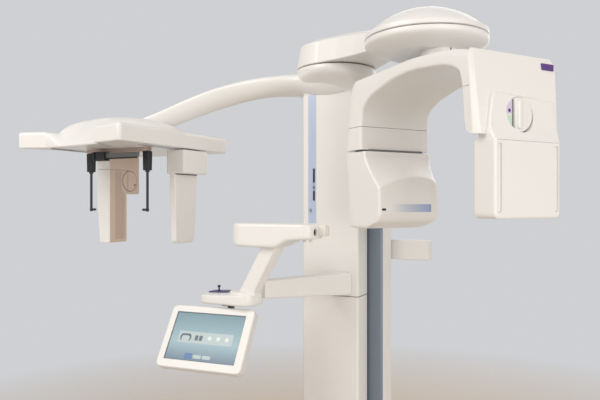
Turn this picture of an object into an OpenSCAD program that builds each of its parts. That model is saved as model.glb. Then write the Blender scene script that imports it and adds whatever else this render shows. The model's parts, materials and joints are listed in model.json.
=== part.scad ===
// Dental x-ray ct scanner with a cephalometric arm, in millimetres, +Z up.
// The origin is on the floor in the middle of the floor bolt pattern, X runs along the wall, Y goes to the wall.

/* [Columns] */
// Width of the stationary column
station_w = 334; // [280:2:380]
// Depth of the stationary column
station_d = 120; // [100:2:150]
// Height of the stationary column
station_h = 1396; // [1200:4:1500]
// Wall of the column profile
profile_wall = 6; // [4:0.5:8]
// Width of the moving column
moving_w = 228; // [200:2:260]
// Depth of the moving column
moving_d = 100; // [90:2:120]
// Height of the top of the moving column over the floor
moving_top = 1811; // [1790:1:1850]
// Length of the moving column
moving_len = 1361; // [1250:1:1400]
// Gap between the two columns
column_gap = 12; // [8:1:20]
// Height of the seam between the two front covers
cover_split = 1054; // [1030:1:1060]
// Thickness of the moulded covers
cover_wall = 4; // [2:0.5:5]
// Width of the blue strip
strip_w = 34; // [24:1:44]

/* [Wall and floor] */
// Width of the wall bracket
bracket_w = 426; // [400:2:440]
// Distance from the middle of the column to the middle of the wall bracket
bracket_x = 100; // [90:1:110]
// Height of the wall bracket
bracket_h = 76; // [60:1:90]
// Height of the middle of the wall bracket
bracket_z = 1215; // [1150:1:1260]
// Depth of the wall bracket
bracket_d = 60; // [50:1:80]
// Distance between the wall screws along the bracket
wall_hole_x = 340; // [300:5:360]
// Distance between the wall screws upwards
wall_hole_z = 36; // [24:1:44]
// Diameter of the wall screw holes
wall_hole_d = 10; // [8:0.5:12]
// Width of the base plate
base_w = 400; // [380:5:480]
// Depth of the base plate
base_d = 180; // [170:5:200]
// Thickness of the base plate
base_t = 12; // [8:1:20]
// Distance between the floor bolts along the wall
floor_hole_x = 364; // [360:1:370]
// Distance between the floor bolts towards the wall
floor_hole_y = 144; // [130:2:150]
// Diameter of the floor bolt holes
floor_hole_d = 14; // [10:1:16]

/* [Shoulder link] */
// Distance from the shoulder axis to the elbow axis
link_len = 498; // [470:1:520]
// Turn of the shoulder link from the X axis
link_angle = -32.7; // [-40:0.1:-25]
// Radius of the round shoulder end
shoulder_r = 150; // [130:1:160]
// Radius of the elbow dome
dome_r = 193; // [180:1:205]
// Height of the elbow dome over its rim
dome_rise = 101; // [80:1:110]
// Width of the link between shoulder and elbow
link_w = 140; // [110:2:170]
// Height of the link
link_h = 104; // [80:1:110]
// Depth of the bowl under the dome
bowl_h = 46; // [45:1:48]
// Radius of the foot of the bowl
bowl_foot_r = 118; // [114:1:122]
// Height of the neck under the bowl
neck_h = 39; // [36:1:42]
// Radius of the neck under the bowl
neck_r = 57; // [54:1:57]

/* [C-arm] */
// Width of the C-arm
carm_w = 281; // [260:1:300]
// Turn of the C-arm from the X axis
carm_angle = -36; // [-40:0.5:-30]
// Distance from the elbow axis to the C-arm axis
carm_offset = 75; // [65:1:80]
// Width of the sensor housing
sensor_w = 234; // [200:2:250]
// Height of the sensor housing
sensor_h = 200; // [180:2:210]
// Thickness of the sensor housing
sensor_t = 74; // [60:1:80]
// Diameter of the lock knobs
knob_d = 92; // [80:1:98]

/* [Cephalometric head] */
// Thickness of the head's board at its edge
board_t = 55; // [45:1:65]
// Height of the underside of the board
board_z = 1613; // [1600:1:1630]
// Distance between the two ear posts
ear_span = 291; // [270:1:296]
// Height of the ear plugs
ear_z = 1374; // [1350:1:1400]
// Depth of the cassette towards the wall
cassette_d = 104; // [90:1:120]
// Depth of the sensor adapter towards the wall
adapter_d = 184; // [160:1:200]
// Thickness of the sensor adapter
adapter_t = 77; // [60:1:82]
// Height of the sensor adapter
adapter_h = 169; // [150:1:175]

/* [Patient support] */
// Length of the chin table
table_l = 318; // [280:2:340]
// Depth of the chin table
table_d = 118; // [90:2:130]
// Height of the top of the chin table
table_z = 1333; // [1310:1:1345]
// Length of the lower shell
shell_l = 240; // [200:2:260]
// Depth of the lower shell
shell_d = 120; // [100:2:130]
// Width of the strut
strut_w = 50; // [40:1:60]
// Lean of the strut from upright
strut_lean = 29; // [22:0.5:34]

/* [Touch screen] */
// Width of the display
screen_w = 261; // [220:1:280]
// Height of the display
screen_h = 167; // [140:1:175]
// Border of the housing round the display
screen_rim = 25; // [16:1:30]
// Thickness of the screen housing
screen_t = 32; // [24:1:36]
// Lean of the screen from upright
screen_lean = 32.8; // [20:0.2:38]
// Turn of the screen from the X axis
screen_turn = 5.2; // [0:0.2:10]

/* [Hidden] */
$fn = 64;
fit = 0.3;
run = 0.05;

// Colours
white = "#f2f0ec";
steel = "#9a9fa5";
dark = "#202226";
blue = "#a9b6de";
grey_blue = "#98a6b8";

// Places worked out from the driving sizes
station_front = -station_d / 2;
station_back = station_d / 2;
moving_back = station_front - column_gap;
moving_front = moving_back - moving_d;
moving_bottom = moving_top - moving_len;
moving_mid = (moving_back + moving_front) / 2;
cap_h = 22;
cap_lip = 3;
carriage_w = 130;
slot_w = carriage_w + 20;
rail_x = 46;
rail_w = 14;
rail_d = 16;
rail_y = station_back - profile_wall - rail_d;
spindle_d = 20;
spindle_y = -12;
motor_h = 90;
motor_w = 96;
motor_d = 60;
carriage_z = moving_bottom + 110;
carriage_h = 240;
seam_gap = 2;
frame_wall = 5;

// Strip and its controls
strip_x = -73;
strip_bottom = 1310;
strip_t = 2;
button_x = -66;
button_w = 8;
up_z = 1504;
up_h = 56;
down_z = 1428;
down_h = 40;
key_x = -80;
key_z = 1373;
key_r = 4;
button_travel = 2;

// Shoulder, elbow and C-arm axes
shoulder = [0, moving_mid + 10];
flange_top = moving_top + 94;
flange_gap = 4;
link_z = flange_top + flange_gap;
base_h = 14;
link_bar_w = link_w - 16;
elbow = shoulder + link_len * [cos(link_angle), sin(link_angle)];
shaft_r = 45;
bowl_gap = 3;
bowl_top = link_z - bowl_gap;
bowl_bottom = bowl_top - bowl_h;
carm_gap = 4;
neck_bottom = bowl_bottom - neck_h;
carm_top = neck_bottom - carm_gap;
carm_shaft_r = 28;
neck_offset = carm_offset - 15;
bowl_foot_in = 4;
carm_collar_r = min(carm_shaft_r + 12, bowl_foot_r - bowl_foot_in - carm_offset - 1);
collar_h = 10;
bowl_floor = 8;
hub_h = 22;
hub_top = bowl_bottom + bowl_floor + hub_h;

// Ceph head
nose = [-538, -705];
head_back = -73;
head_right = -527;
ear_mid = [-794, -436];
carrier_t = 13;
carrier_d = 44;
spigot_r = 22;
spigot_h = 24;
carrier_z = board_z - carrier_t - fit;
adapter_x = -965;
adapter_y = -306;
slide_gap = 5;
adapter_top = board_z - slide_gap;
adapter_z = adapter_top - adapter_h;
adapter_neck = 63;
ceph_knob = [adapter_x, adapter_y + 122, adapter_z + 58];
ceph_knob_seat = 6;
cassette_z = 1229;
plate_z = 1240;
block_x = -622;
block_w = 87;
block_y = -357;
block_d = 159;
block_h = 92;
block_top = board_z - slide_gap;
plate_x = -611;
plate_w = 27;

// Patient support
arm_root_z = 1066;
arm_root_h = 79;
arm_end = [-130, -494];
arm_end_z = 1083;
arm_end_h = 50;
shell_x = -346;
shell_y = -500;
shell_z = 1057;
shell_h = 42;
ring_x = shell_x + shell_l - shell_d / 2;
table_x = -216;
table_y = -500;
table_h = 78;
table_thin_h = 50;
socket_d = 24;
socket_l = 34;

// Touch screen
screen_mid = [-264, -602, 956];
pivot = [-236, -485];
pivot_h = 9;
pivot_r = 36;
stem_r = 12;
hinge = [38, 62, -45];
hinge_r = 9;

module rounded(w, d, r) {
    square([w - 2 * r, d], center = true);
    square([w, d - 2 * r], center = true);
    for (x = [-1, 1], y = [-1, 1])
        translate([x * (w / 2 - r), y * (d / 2 - r)]) circle(r);
}

module block(w, d, h, r) {
    linear_extrude(h) rounded(w, d, r);
}

module pin(x, y, z, r, h) {
    translate([x, y, z]) cylinder(r = r, h = h);
}

// A bar that lies along X, cut from an outline in Y and Z
module along_x(x0, length) {
    translate([x0, 0, 0]) rotate([90, 0, 90]) linear_extrude(length) children();
}

// Fixed column

module base_plate() {
    color(steel) difference() {
        block(base_w, base_d, base_t, 12);
        for (x = [-1, 1], y = [-1, 1])
            pin(x * floor_hole_x / 2, y * floor_hole_y / 2, -1, floor_hole_d / 2, base_t + 2);
    }
}

module stationary_column() {
    color(grey_blue) translate([0, 0, base_t]) linear_extrude(station_h - cap_h - base_t) difference() {
        rounded(station_w, station_d, 8);
        square([station_w - 2 * profile_wall, station_d - 2 * profile_wall], center = true);
        translate([-slot_w / 2, -station_d]) square([slot_w, station_d - profile_wall]);
    }
}

module column_cap() {
    color(white) translate([0, 0, station_h - cap_h]) block(station_w + 2 * cap_lip, station_d, cap_h, 8);
}

module wall_bracket() {
    back_t = 8;
    color(white) translate([bracket_x, station_back, bracket_z]) difference() {
        translate([-bracket_w / 2, 0, -bracket_h / 2]) cube([bracket_w, bracket_d, bracket_h]);
        translate([-bracket_w / 2 + cover_wall, cover_wall, -bracket_h / 2 + cover_wall])
            cube([bracket_w - 2 * cover_wall, bracket_d - cover_wall - back_t, bracket_h - 2 * cover_wall]);
        for (x = [-1, 1], z = [-1, 1])
            translate([x * wall_hole_x / 2, bracket_d - back_t - 1, z * wall_hole_z / 2])
                rotate([-90, 0, 0]) cylinder(d = wall_hole_d, h = back_t + 2);
    }
}

module lift_motor() {
    color(dark) difference() {
        translate([0, spindle_y, carriage_z - motor_h]) block(motor_w, motor_d, motor_h, 6);
        pin(0, spindle_y, carriage_z - motor_h - 1, spindle_d / 2 + fit, motor_h + 2);
    }
}

module lift_spindle() {
    foot_h = 14;
    color(steel) {
        pin(0, spindle_y, base_t, spindle_d, foot_h);
        pin(0, spindle_y, base_t + foot_h, spindle_d / 2, station_h - cap_h - base_t - foot_h);
    }
}

module guide_rails() {
    color(steel) for (side = [-1, 1])
        translate([side * rail_x - rail_w / 2, rail_y, base_t])
            cube([rail_w, rail_d, station_h - cap_h - base_t]);
}

module power_box() {
    box_w = 60;
    box_x = station_w / 2 - profile_wall - box_w;
    color(steel) translate([box_x, -station_d / 2 + profile_wall, base_t])
        cube([box_w, station_d - 2 * profile_wall, 420]);
}

// Moving column

module lift_carriage() {
    color(steel) difference() {
        translate([-carriage_w / 2, moving_back, carriage_z])
            cube([carriage_w, station_back - profile_wall - 4 - moving_back, carriage_h]);
        pin(0, spindle_y, carriage_z - 1, spindle_d / 2 + fit, carriage_h + 2);
        for (side = [-1, 1])
            translate([side * rail_x - rail_w / 2 - fit, rail_y - fit, carriage_z - 1])
                cube([rail_w + 2 * fit, rail_d + 2, carriage_h + 2]);
    }
}

module column_frame() {
    w = moving_w - 2 * cover_wall - 2 * fit;
    d = moving_d - cover_wall - fit;
    color(steel) translate([0, moving_back - d / 2, moving_bottom]) linear_extrude(moving_len)
        difference() {
            square([w, d], center = true);
            square([w - 2 * frame_wall, d - 2 * frame_wall], center = true);
        }
}

module column_cover(z0, z1) {
    color(white) translate([0, moving_mid, z0]) difference() {
        block(moving_w, moving_d, z1 - z0, 9);
        translate([-moving_w / 2 + cover_wall, -moving_d / 2 + cover_wall, -1])
            cube([moving_w - 2 * cover_wall, moving_d, z1 - z0 + 2]);
        children();
    }
}

module upper_cover() {
    color(white) difference() {
        column_cover(cover_split + seam_gap, moving_top);
        translate([strip_x - strip_w / 2, moving_front - 1, strip_bottom])
            cube([strip_w, strip_t + 1, moving_top]);
        for (b = [[up_z, up_h], [down_z, down_h]])
            translate([button_x - button_w / 2 - fit, moving_front - 1, b[0] - b[1] / 2 - fit])
                cube([button_w + 2 * fit, cover_wall + 2, b[1] + 2 * fit]);
        translate([key_x, moving_front - 1, key_z]) rotate([-90, 0, 0])
            cylinder(r = key_r + fit, h = cover_wall + 2);
    }
}

module lower_cover() {
    column_cover(moving_bottom, cover_split - seam_gap);
}

module blue_strip() {
    color(blue) difference() {
        translate([strip_x - strip_w / 2, moving_front, strip_bottom])
            cube([strip_w, strip_t, moving_top - strip_bottom]);
        for (b = [[up_z, up_h], [down_z, down_h]])
            translate([button_x - button_w / 2 - fit, moving_front - 1, b[0] - b[1] / 2 - fit])
                cube([button_w + 2 * fit, strip_t + 2, b[1] + 2 * fit]);
        translate([key_x, moving_front - 1, key_z]) rotate([-90, 0, 0])
            cylinder(r = key_r + fit, h = strip_t + 2);
    }
}

module strip_button(z, h) {
    color(dark) translate([button_x - button_w / 2, moving_front - 1, z - h / 2])
        cube([button_w, cover_wall + 1 - button_travel, h]);
}

module up_button() {
    strip_button(up_z, up_h);
}

module down_button() {
    strip_button(down_z, down_h);
}

module key_switch() {
    bow_t = 3;
    bow_gap = 1;
    color("#c8c8cc") translate([key_x, moving_front - bow_t - bow_gap, key_z]) rotate([-90, 0, 0]) {
        cylinder(r = key_r, h = bow_t + bow_gap + cover_wall);
        translate([-key_r / 2, -7, 0]) cube([key_r, 14, bow_t]);
    }
}

function mix(a, b, t) = a + (b - a) * t;

// Stations along the ceph arm: middle, width, height
arm_foot_z = board_z + 109;
arm_head_z = flange_top - 43;
arm_stations = [
    [[-100, -112, arm_head_z - 4], 150, 90],
    [[-180, -118, arm_head_z], 116, 84],
    [[-300, -130, arm_head_z], 108, 80],
    [[-450, -172, mix(arm_foot_z, arm_head_z, 0.77)], 104, 80],
    [[-600, -228, mix(arm_foot_z, arm_head_z, 0.4)], 100, 78],
    [[-718, -282, arm_foot_z], 96, 70]
];

module arm_station(s) {
    translate(s[0]) scale([1, s[1] / 100, s[2] / 100]) rotate([0, 90, 0])
        cylinder(d = 100, h = 2, center = true, $fn = 32);
}

module ceph_arm() {
    rim_h = 14;
    cone_h = 40;
    color(white) {
        difference() {
            union() {
                translate([shoulder.x, shoulder.y, flange_top - rim_h - cone_h])
                    cylinder(r1 = shoulder_r - cone_h + 2, r2 = shoulder_r, h = cone_h);
                pin(shoulder.x, shoulder.y, flange_top - rim_h, shoulder_r, rim_h);
                translate([0, moving_mid, moving_top])
                    block(moving_w, moving_d, flange_top - rim_h - cone_h - moving_top + 4, 9);
            }
            pin(shoulder.x, shoulder.y, moving_top - 1, shaft_r + fit, flange_top);
        }
        difference() {
            union() for (i = [0 : len(arm_stations) - 2])
                hull() {
                    arm_station(arm_stations[i]);
                    arm_station(arm_stations[i + 1]);
                }
            pin(shoulder.x, shoulder.y, moving_top - 1, shoulder_r - 30, flange_top);
            ceph_dome_body(0);
        }
    }
}

module shoulder_bearing() {
    color(steel) {
        pin(shoulder.x, shoulder.y, moving_top + 10, shaft_r, link_z + base_h + run - moving_top - 10);
        pin(shoulder.x, shoulder.y, flange_top, shaft_r + 20, flange_gap - run);
        pin(shoulder.x, shoulder.y, link_z + base_h + run, shaft_r + 20, collar_h);
    }
}

// Shoulder link

module in_link() {
    translate([shoulder.x, shoulder.y, 0]) rotate([0, 0, link_angle]) children();
}

module link_base() {
    color(steel) in_link() difference() {
        union() {
            pin(0, 0, link_z, shoulder_r - 6, base_h);
            translate([0, -link_bar_w / 2, link_z]) cube([link_len, link_bar_w, base_h]);
            pin(link_len, 0, link_z, dome_r - 7, base_h);
        }
        pin(0, 0, link_z - 1, shaft_r + fit, base_h + 2);
        pin(link_len, 0, link_z - 1, shaft_r + fit, base_h + 2);
    }
}

module link_outline(inset, z0, z1) {
    pin(0, 0, z0, shoulder_r - inset, z1 - z0);
    translate([0, -link_w / 2 + inset, z0]) cube([link_len, link_w - 2 * inset, z1 - z0]);
}

module link_cover() {
    edge = 14;
    color(white) in_link() difference() {
        union() {
            link_outline(0, link_z, link_z + link_h - edge);
            link_outline(edge / 2, link_z, link_z + link_h - edge / 3);
            link_outline(edge, link_z, link_z + link_h);
        }
        link_outline(cover_wall + 1, link_z - 1, link_z + link_h - edge - cover_wall);
        pin(link_len, 0, link_z - 1, dome_r + fit, link_h + 2);
    }
}

module dome_cap() {
    rim_h = 16;
    crease_r = dome_r - 31;
    color(white) difference() {
        translate([elbow.x, elbow.y, link_z]) dome_shell(rim_h, crease_r);
        in_link() translate([link_len - dome_r - 10, -link_bar_w / 2 - fit, link_z - 1])
            cube([link_w, link_bar_w + 2 * fit, base_h + 1 + fit]);
    }
}

module dome_shell(rim_h, crease_r) {
    difference() {
        rotate_extrude($fn = 96) polygon(concat(
            [[0, 0], [dome_r, 0], [dome_r, rim_h], [dome_r - 8, rim_h + 12], [crease_r, rim_h + 22]],
            [for (i = [1 : 10]) let(a = 9 * i)
                [crease_r * cos(a), rim_h + 22 + (dome_rise - rim_h - 22) * sin(a)]]
        ));
        translate([0, 0, -1]) cylinder(r = dome_r - cover_wall - 1, h = rim_h + 1);
        translate([0, 0, rim_h - 1]) cylinder(r1 = dome_r - cover_wall - 10, r2 = 90, h = 52);
    }
}

// Elbow

module elbow_bowl() {
    color(white) translate([elbow.x, elbow.y, 0]) difference() {
        union() {
            rotate_extrude($fn = 96) polygon([
                [0, bowl_bottom], [bowl_foot_r, bowl_bottom], [bowl_foot_r + 36, bowl_bottom + 14],
                [bowl_foot_r + 62, bowl_bottom + 24], [dome_r - 4, bowl_top - 14], [dome_r - 2, bowl_top],
                [dome_r - 7, bowl_top], [dome_r - 9, bowl_top - 13],
                [bowl_foot_r + 59, bowl_bottom + 30], [bowl_foot_r + 33, bowl_bottom + 20],
                [bowl_foot_r - bowl_foot_in, bowl_bottom + bowl_floor], [0, bowl_bottom + bowl_floor]
            ]);
            rotate([0, 0, carm_angle]) pin(neck_offset, 0, neck_bottom, neck_r, neck_h + 1);
        }
        rotate([0, 0, carm_angle])
            pin(carm_offset, 0, neck_bottom - 1, carm_shaft_r + fit, neck_h + bowl_floor + 2);
    }
}

module elbow_bearing() {
    color(steel) {
        pin(elbow.x, elbow.y, hub_top, shaft_r, link_z + base_h + run - hub_top);
        pin(elbow.x, elbow.y, link_z + base_h + run, shaft_r + 18, collar_h);
        difference() {
            pin(elbow.x, elbow.y, bowl_bottom + bowl_floor, bowl_foot_r - 20, hub_h);
            translate([elbow.x, elbow.y, 0]) rotate([0, 0, carm_angle])
                pin(carm_offset, 0, bowl_bottom, carm_shaft_r + 14, 4 * collar_h);
        }
    }
}

// C-arm, drawn from the elbow axis: x towards the sensor, near side at -y

module in_carm() {
    translate([elbow.x, elbow.y, 0]) rotate([0, 0, carm_angle]) children();
}

leg_end = carm_top - 242;
arm_split = 0.6;
leg_foot = [352, leg_end - 20];
leg_head = [335, carm_top - 26];

// Outline of the opening of the C, from the tube leg round to the sensor leg
opening = [
    [-157, leg_end - 20], [-156, carm_top - 152], [-150, carm_top - 118], [-131, carm_top - 97],
    [-108, carm_top - 83], [-85, carm_top - 74], [3, carm_top - 48], [84, carm_top - 40], [194, carm_top - 46],
    [245, carm_top - 52], [275, carm_top - 62], [296, carm_top - 76], [308, carm_top - 92],
    [316, carm_top - 112], [322, leg_end - 20]
];

// Outline of the top of the C, from the sensor leg back to the tube leg
back = [
    leg_foot, leg_head, [300, carm_top - 18], [254, carm_top - 10], [99, carm_top],
    [-49, carm_top - 7], [-190, carm_top - 16], [-214, carm_top - 24], [-226, carm_top - 44],
    [-255, leg_end - 20]
];

// The C in the plane of x and z, cut level at the two leg ends
module c_outline(inset) {
    intersection() {
        offset(delta = -inset) polygon(concat(opening, back));
        translate([-400, leg_end]) square([900, 400]);
    }
}

module opening_outline(grow) {
    offset(delta = grow) polygon(opening);
}

module upright(width) {
    rotate([90, 0, 0]) translate([0, 0, -width / 2]) linear_extrude(width) children();
}

module carm_outer_cover() {
    color(white) in_carm() difference() {
        upright(carm_w) difference() {
            c_outline(0);
            opening_outline(cover_wall + arm_split);
        }
        upright(carm_w - 2 * cover_wall) c_outline(cover_wall);
        pin(carm_offset, 0, carm_top - 30, carm_shaft_r + 12, 40);
    }
}

module carm_inner_cover() {
    color(white) in_carm() upright(carm_w) intersection() {
        c_outline(0);
        opening_outline(cover_wall);
    }
}

frame_w = 180;
frame_inset = cover_wall + fit;
frame_lift = 8;

module carm_frame() {
    color(steel) in_carm() difference() {
        upright(frame_w) intersection() {
            c_outline(frame_inset);
            translate([-400, leg_end + frame_lift]) square([900, 400]);
        }
        pin(carm_offset, 0, carm_top - 16, carm_shaft_r + 10 + fit, 40);
    }
}

module carm_bearing() {
    color(steel) in_carm() {
        pin(carm_offset, 0, carm_top - 16, carm_shaft_r + 10, 12);
        pin(carm_offset, 0, carm_top - 4, carm_shaft_r, carm_gap + 4 + neck_h + bowl_floor + run);
        pin(carm_offset, 0, bowl_bottom + bowl_floor + run, carm_collar_r, collar_h);
    }
}

head_top = leg_end - 7;
head_bottom = head_top - 251;

// Outline of the tube head in x and z
module head_outline(inset) {
    offset(delta = -inset) polygon([
        [-253, head_top], [-134, head_top], [-120, head_top - 44], [-100, head_top - 80], [-54, head_top - 127],
        [-51, head_top - 200], [-64, head_top - 224], [-99, head_bottom + 6], [-120, head_bottom],
        [-226, head_bottom], [-236, head_bottom + 10]
    ]);
}

module tube_housing() {
    color(white) in_carm() {
        difference() {
            upright(carm_w) head_outline(0);
            upright(carm_w - 2 * cover_wall) head_outline(cover_wall);
        }
        translate([-236, -frame_w / 2, head_top - cover_wall / 2])
            cube([66, frame_w, leg_end + frame_lift - head_top + cover_wall / 2]);
    }
}

insert_x = -152;
insert_z = head_top - 130;
insert_r = 54;
insert_l = 190;
tank_x = insert_x - 50;
tank_w = 80;
tank_l = 150;
tank_h = 70;
mount_z = insert_z + 48;

module tube_insert() {
    color(steel) in_carm() {
        translate([insert_x, -insert_l / 2, insert_z]) rotate([-90, 0, 0]) cylinder(r = insert_r, h = insert_l);
        translate([tank_x, -tank_l / 2, head_bottom + cover_wall + 1]) cube([tank_w, tank_l, tank_h]);
        translate([tank_x, -tank_l / 2, mount_z]) cube([30, tank_l, head_top - cover_wall - mount_z]);
    }
}

module beam_collimator() {
    x0 = insert_x + insert_r + fit;
    window_x = -58.1;
    color(dark) in_carm() translate([x0, -50, head_top - 190]) cube([window_x - x0, 100, 56]);
}

// Sensor arm, on the outside of the sensor leg

face_x = 369;
leg_slope = (leg_head.x - leg_foot.x) / (leg_head.y - leg_foot.y);
knob_z = leg_end + 53;
arm_w = carm_w + 10;
knob_t = 12;
knob_seat = 8;

module sensor_arm_cover() {
    color(white) in_carm() difference() {
        upright(arm_w) polygon([
            [leg_foot.x + leg_slope * (leg_end - leg_foot.y) + fit, leg_end], [face_x, leg_end],
            [face_x, leg_end + 100], [face_x - 7, leg_end + 112], [348, carm_top - 34],
            [340, carm_top - 24], [leg_head.x + fit, leg_head.y]
        ]);
        translate([face_x - knob_seat, 0, knob_z]) rotate([0, 90, 0]) cylinder(d = knob_d + 2 * fit, h = 30);
    }
}

module sensor_lock_knob() {
    groove_w = 7;
    color(white) in_carm() translate([face_x - knob_seat + fit, 0, knob_z]) rotate([0, 90, 0]) difference() {
        cylinder(d = knob_d, h = knob_t);
        translate([-knob_d * 0.42, knob_d * 0.12, 5]) cube([knob_d * 0.84, groove_w, knob_t]);
    }
}

house_x = 329;
house_top = leg_end - 10;

module sensor_housing() {
    groove = 3;
    color(white) in_carm() {
        difference() {
            translate([house_x, -sensor_w / 2, house_top - sensor_h]) cube([sensor_t, sensor_w, sensor_h]);
            translate([house_x + cover_wall, -sensor_w / 2 + 28, house_top - sensor_h + cover_wall])
                cube([sensor_t - 2 * cover_wall, sensor_w - 56, sensor_h - 2 * cover_wall]);
            for (side = [-1, 1])
                translate([house_x + sensor_t - groove, side * (sensor_w / 2 - 16) - 7, house_top - sensor_h + 12])
                    cube([groove + 1, 14, sensor_h - 24]);
        }
        translate([house_x, -60, house_top]) cube([12, 120, leg_end + frame_lift - house_top]);
    }
}

module detector_panel() {
    color(dark) in_carm() translate([house_x + cover_wall, -80, house_top - sensor_h + 20])
        cube([16, 160, sensor_h - 40]);
}

// Ceph head

module board_outline(inset) {
    offset(delta = -inset) polygon([
        [-1140, -618], [-1130, -634], [-1007, -598], [-900, -604], [-724, -630], [-716, -664], nose,
        [head_right, head_back + 10], [head_right - 14, head_back], [-700, -56], [-1050, -62], [-1074, -90],
        [-1074, -337], [-1036, -420], [-1024, -446]
    ]);
}

module ceph_board() {
    color(white) difference() {
        translate([0, 0, board_z]) linear_extrude(board_t) board_outline(0);
        translate([0, 0, board_z + cover_wall]) linear_extrude(board_t - 2 * cover_wall)
            board_outline(cover_wall);
        pin(ear_mid.x, ear_mid.y, board_z - 1, spigot_r + fit, 30);
    }
}

dome_mid = [-826, -372];
dome_half = [262, 232, 84];

module ceph_dome_body(inset) {
    color(white) translate([dome_mid.x, dome_mid.y, board_z + board_t]) intersection() {
        scale((dome_half - [inset, inset, inset]) / 100) sphere(r = 100, $fn = 48);
        translate([-2 * dome_half.x, -2 * dome_half.y, 0]) cube(4 * dome_half);
    }
}

module ceph_dome() {
    color(white) intersection() {
        difference() {
            ceph_dome_body(0);
            ceph_dome_body(cover_wall);
        }
        translate([0, 0, board_z]) linear_extrude(board_t + 2 * dome_half.z) board_outline(1);
    }
}

sensor_slide = 280;
collimator_slide = 0.75 * sensor_slide;
rail_h = slide_gap - 2 * fit;
ceph_rail_w = 16;

module ceph_rails() {
    color(steel) {
        translate([adapter_x - (adapter_t + ceph_rail_w) / 2, adapter_y - sensor_slide + 8, board_z - rail_h])
            cube([ceph_rail_w, sensor_slide + adapter_d - 16, rail_h]);
        translate([block_x + (block_w - ceph_rail_w) / 2, block_y - collimator_slide + 8, board_z - rail_h])
            cube([ceph_rail_w, collimator_slide + block_d - 16, rail_h]);
    }
}

module sensor_adapter() {
    color(white) difference() {
        translate([adapter_x - adapter_t, adapter_y, adapter_z]) cube([adapter_t, adapter_d, adapter_h]);
        translate([adapter_x - adapter_t - 1, adapter_y - 1, adapter_z - 1])
            cube([adapter_t + 2, cassette_d + 1 + fit, adapter_h - adapter_neck + 1]);
        ceph_knob_room();
    }
}

// Round seat of the lock knob in the adapter and the cassette
module ceph_knob_room() {
    translate(ceph_knob - [ceph_knob_seat, 0, 0]) rotate([0, 90, 0]) cylinder(d = knob_d + 2 * fit, h = 20);
}

module ceph_cassette() {
    color(white) difference() {
        translate([adapter_x - adapter_t, adapter_y, cassette_z])
            cube([adapter_t, cassette_d, adapter_top - adapter_neck - cassette_z - fit]);
        ceph_knob_room();
        translate([adapter_x - 2, adapter_y + 34, cassette_z + 14]) cube([4, 52, 196]);
    }
}

module ceph_lock_knob() {
    color(white) translate(ceph_knob - [ceph_knob_seat - fit, 0, 0]) rotate([0, 90, 0])
        cylinder(d = knob_d, h = 11);
}

module collimator_carriage() {
    color(white) translate([block_x, block_y, block_top - block_h]) cube([block_w, block_d, block_h]);
}

module collimator_plate() {
    top = block_top - block_h;
    color(white) translate([plate_x, 0, 0]) rotate([90, 0, 90]) linear_extrude(plate_w) polygon([
        [block_y + 6, top], [block_y + 14, plate_z + 10], [block_y + 24, plate_z],
        [block_y + block_d - 34, plate_z], [block_y + block_d - 24, plate_z + 10], [block_y + block_d - 6, top]
    ]);
}

module ear_carrier() {
    color("#b9a79c") {
        translate([ear_mid.x, ear_mid.y, carrier_z]) block(ear_span + 12, carrier_d, carrier_t, 8);
        pin(ear_mid.x, ear_mid.y, carrier_z + carrier_t, spigot_r, spigot_h);
    }
}

holder_h = 74;
holder_w = 29;
holder_top = carrier_z - fit;
rod_r = 5;
plug_l = 26;

module ear_holder(side) {
    color(dark) translate([ear_mid.x + side * ear_span / 2, ear_mid.y, holder_top - holder_h])
        block(holder_w, 26, holder_h, 4);
}

module ear_rod(side) {
    x = ear_mid.x + side * ear_span / 2;
    color(dark) {
        pin(x, ear_mid.y, ear_z - 6, rod_r, holder_top - holder_h - ear_z + 6);
        translate([x, ear_mid.y, ear_z]) rotate([0, -side * 90, 0]) cylinder(r1 = 7, r2 = 3.5, h = plug_l);
    }
}

module ear_holder_left() { ear_holder(-1); }
module ear_holder_right() { ear_holder(1); }
module ear_rod_left() { ear_rod(-1); }
module ear_rod_right() { ear_rod(1); }

nasal = ear_mid + [-52, -42];
nasal_w = 50;
nasal_h = 28;
nasal_top = carrier_z - fit;

module nasal_block() {
    color(dark) difference() {
        union() {
            translate([nasal.x - nasal_w / 2, nasal.y - 14, nasal_top - nasal_h]) cube([nasal_w, 28, nasal_h]);
            translate([nasal.x - 8, nasal.y, nasal_top - 8]) cube([16, 28, 8]);
        }
        translate([nasal.x - 4, nasal.y - 6, nasal_top - nasal_h - 1]) cube([nasal_w, 12, nasal_h + 2]);
    }
}

module nasal_bar() {
    color("#6d6f73") translate([nasal.x + 6, nasal.y, nasal_top - 14]) {
        rotate([90, 0, 0]) translate([0, 0, -5.4]) cylinder(r = 8, h = 10.8);
        translate([0, -5.4, -6]) cube([185, 10.8, 12]);
    }
}

// Patient support

module support_arm() {
    color(white) difference() {
        arm_body(0);
        strut_body(fit);
    }
}

// The support arm as the plan cuts it from its side view
module arm_body(grow) {
    intersection() {
        translate([0, 0, arm_root_z - 10]) linear_extrude(arm_root_h + 20) offset(delta = grow) polygon([
            [-2, moving_front], [86, moving_front], [arm_end.x + 30, arm_end.y - 8],
            [arm_end.x + 8, arm_end.y + 4], [arm_end.x - 20, arm_end.y + 34]
        ]);
        along_x(-400, 800) offset(delta = grow) polygon([
            [moving_front, arm_root_z], [moving_front, arm_root_z + arm_root_h],
            [arm_end.y - 10, arm_end_z + arm_end_h], [arm_end.y - 10, arm_end_z]
        ]);
    }
}

module lower_shell() {
    color(white) difference() {
        union() {
            translate([shell_x + shell_l / 2, shell_y, shell_z]) block(shell_l, shell_d, 26, 40);
            translate([shell_x + shell_l / 2, shell_y, shell_z])
                block(shell_l - 12, shell_d - 12, pad_top - pad_t - shell_z, 34);
            translate([ring_x, shell_y, shell_z]) cylinder(r = shell_d / 2, h = shell_h);
        }
        arm_body(fit);
        pin(pivot.x, pivot.y, shell_z - 1, stem_r + fit, 22);
    }
}

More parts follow.
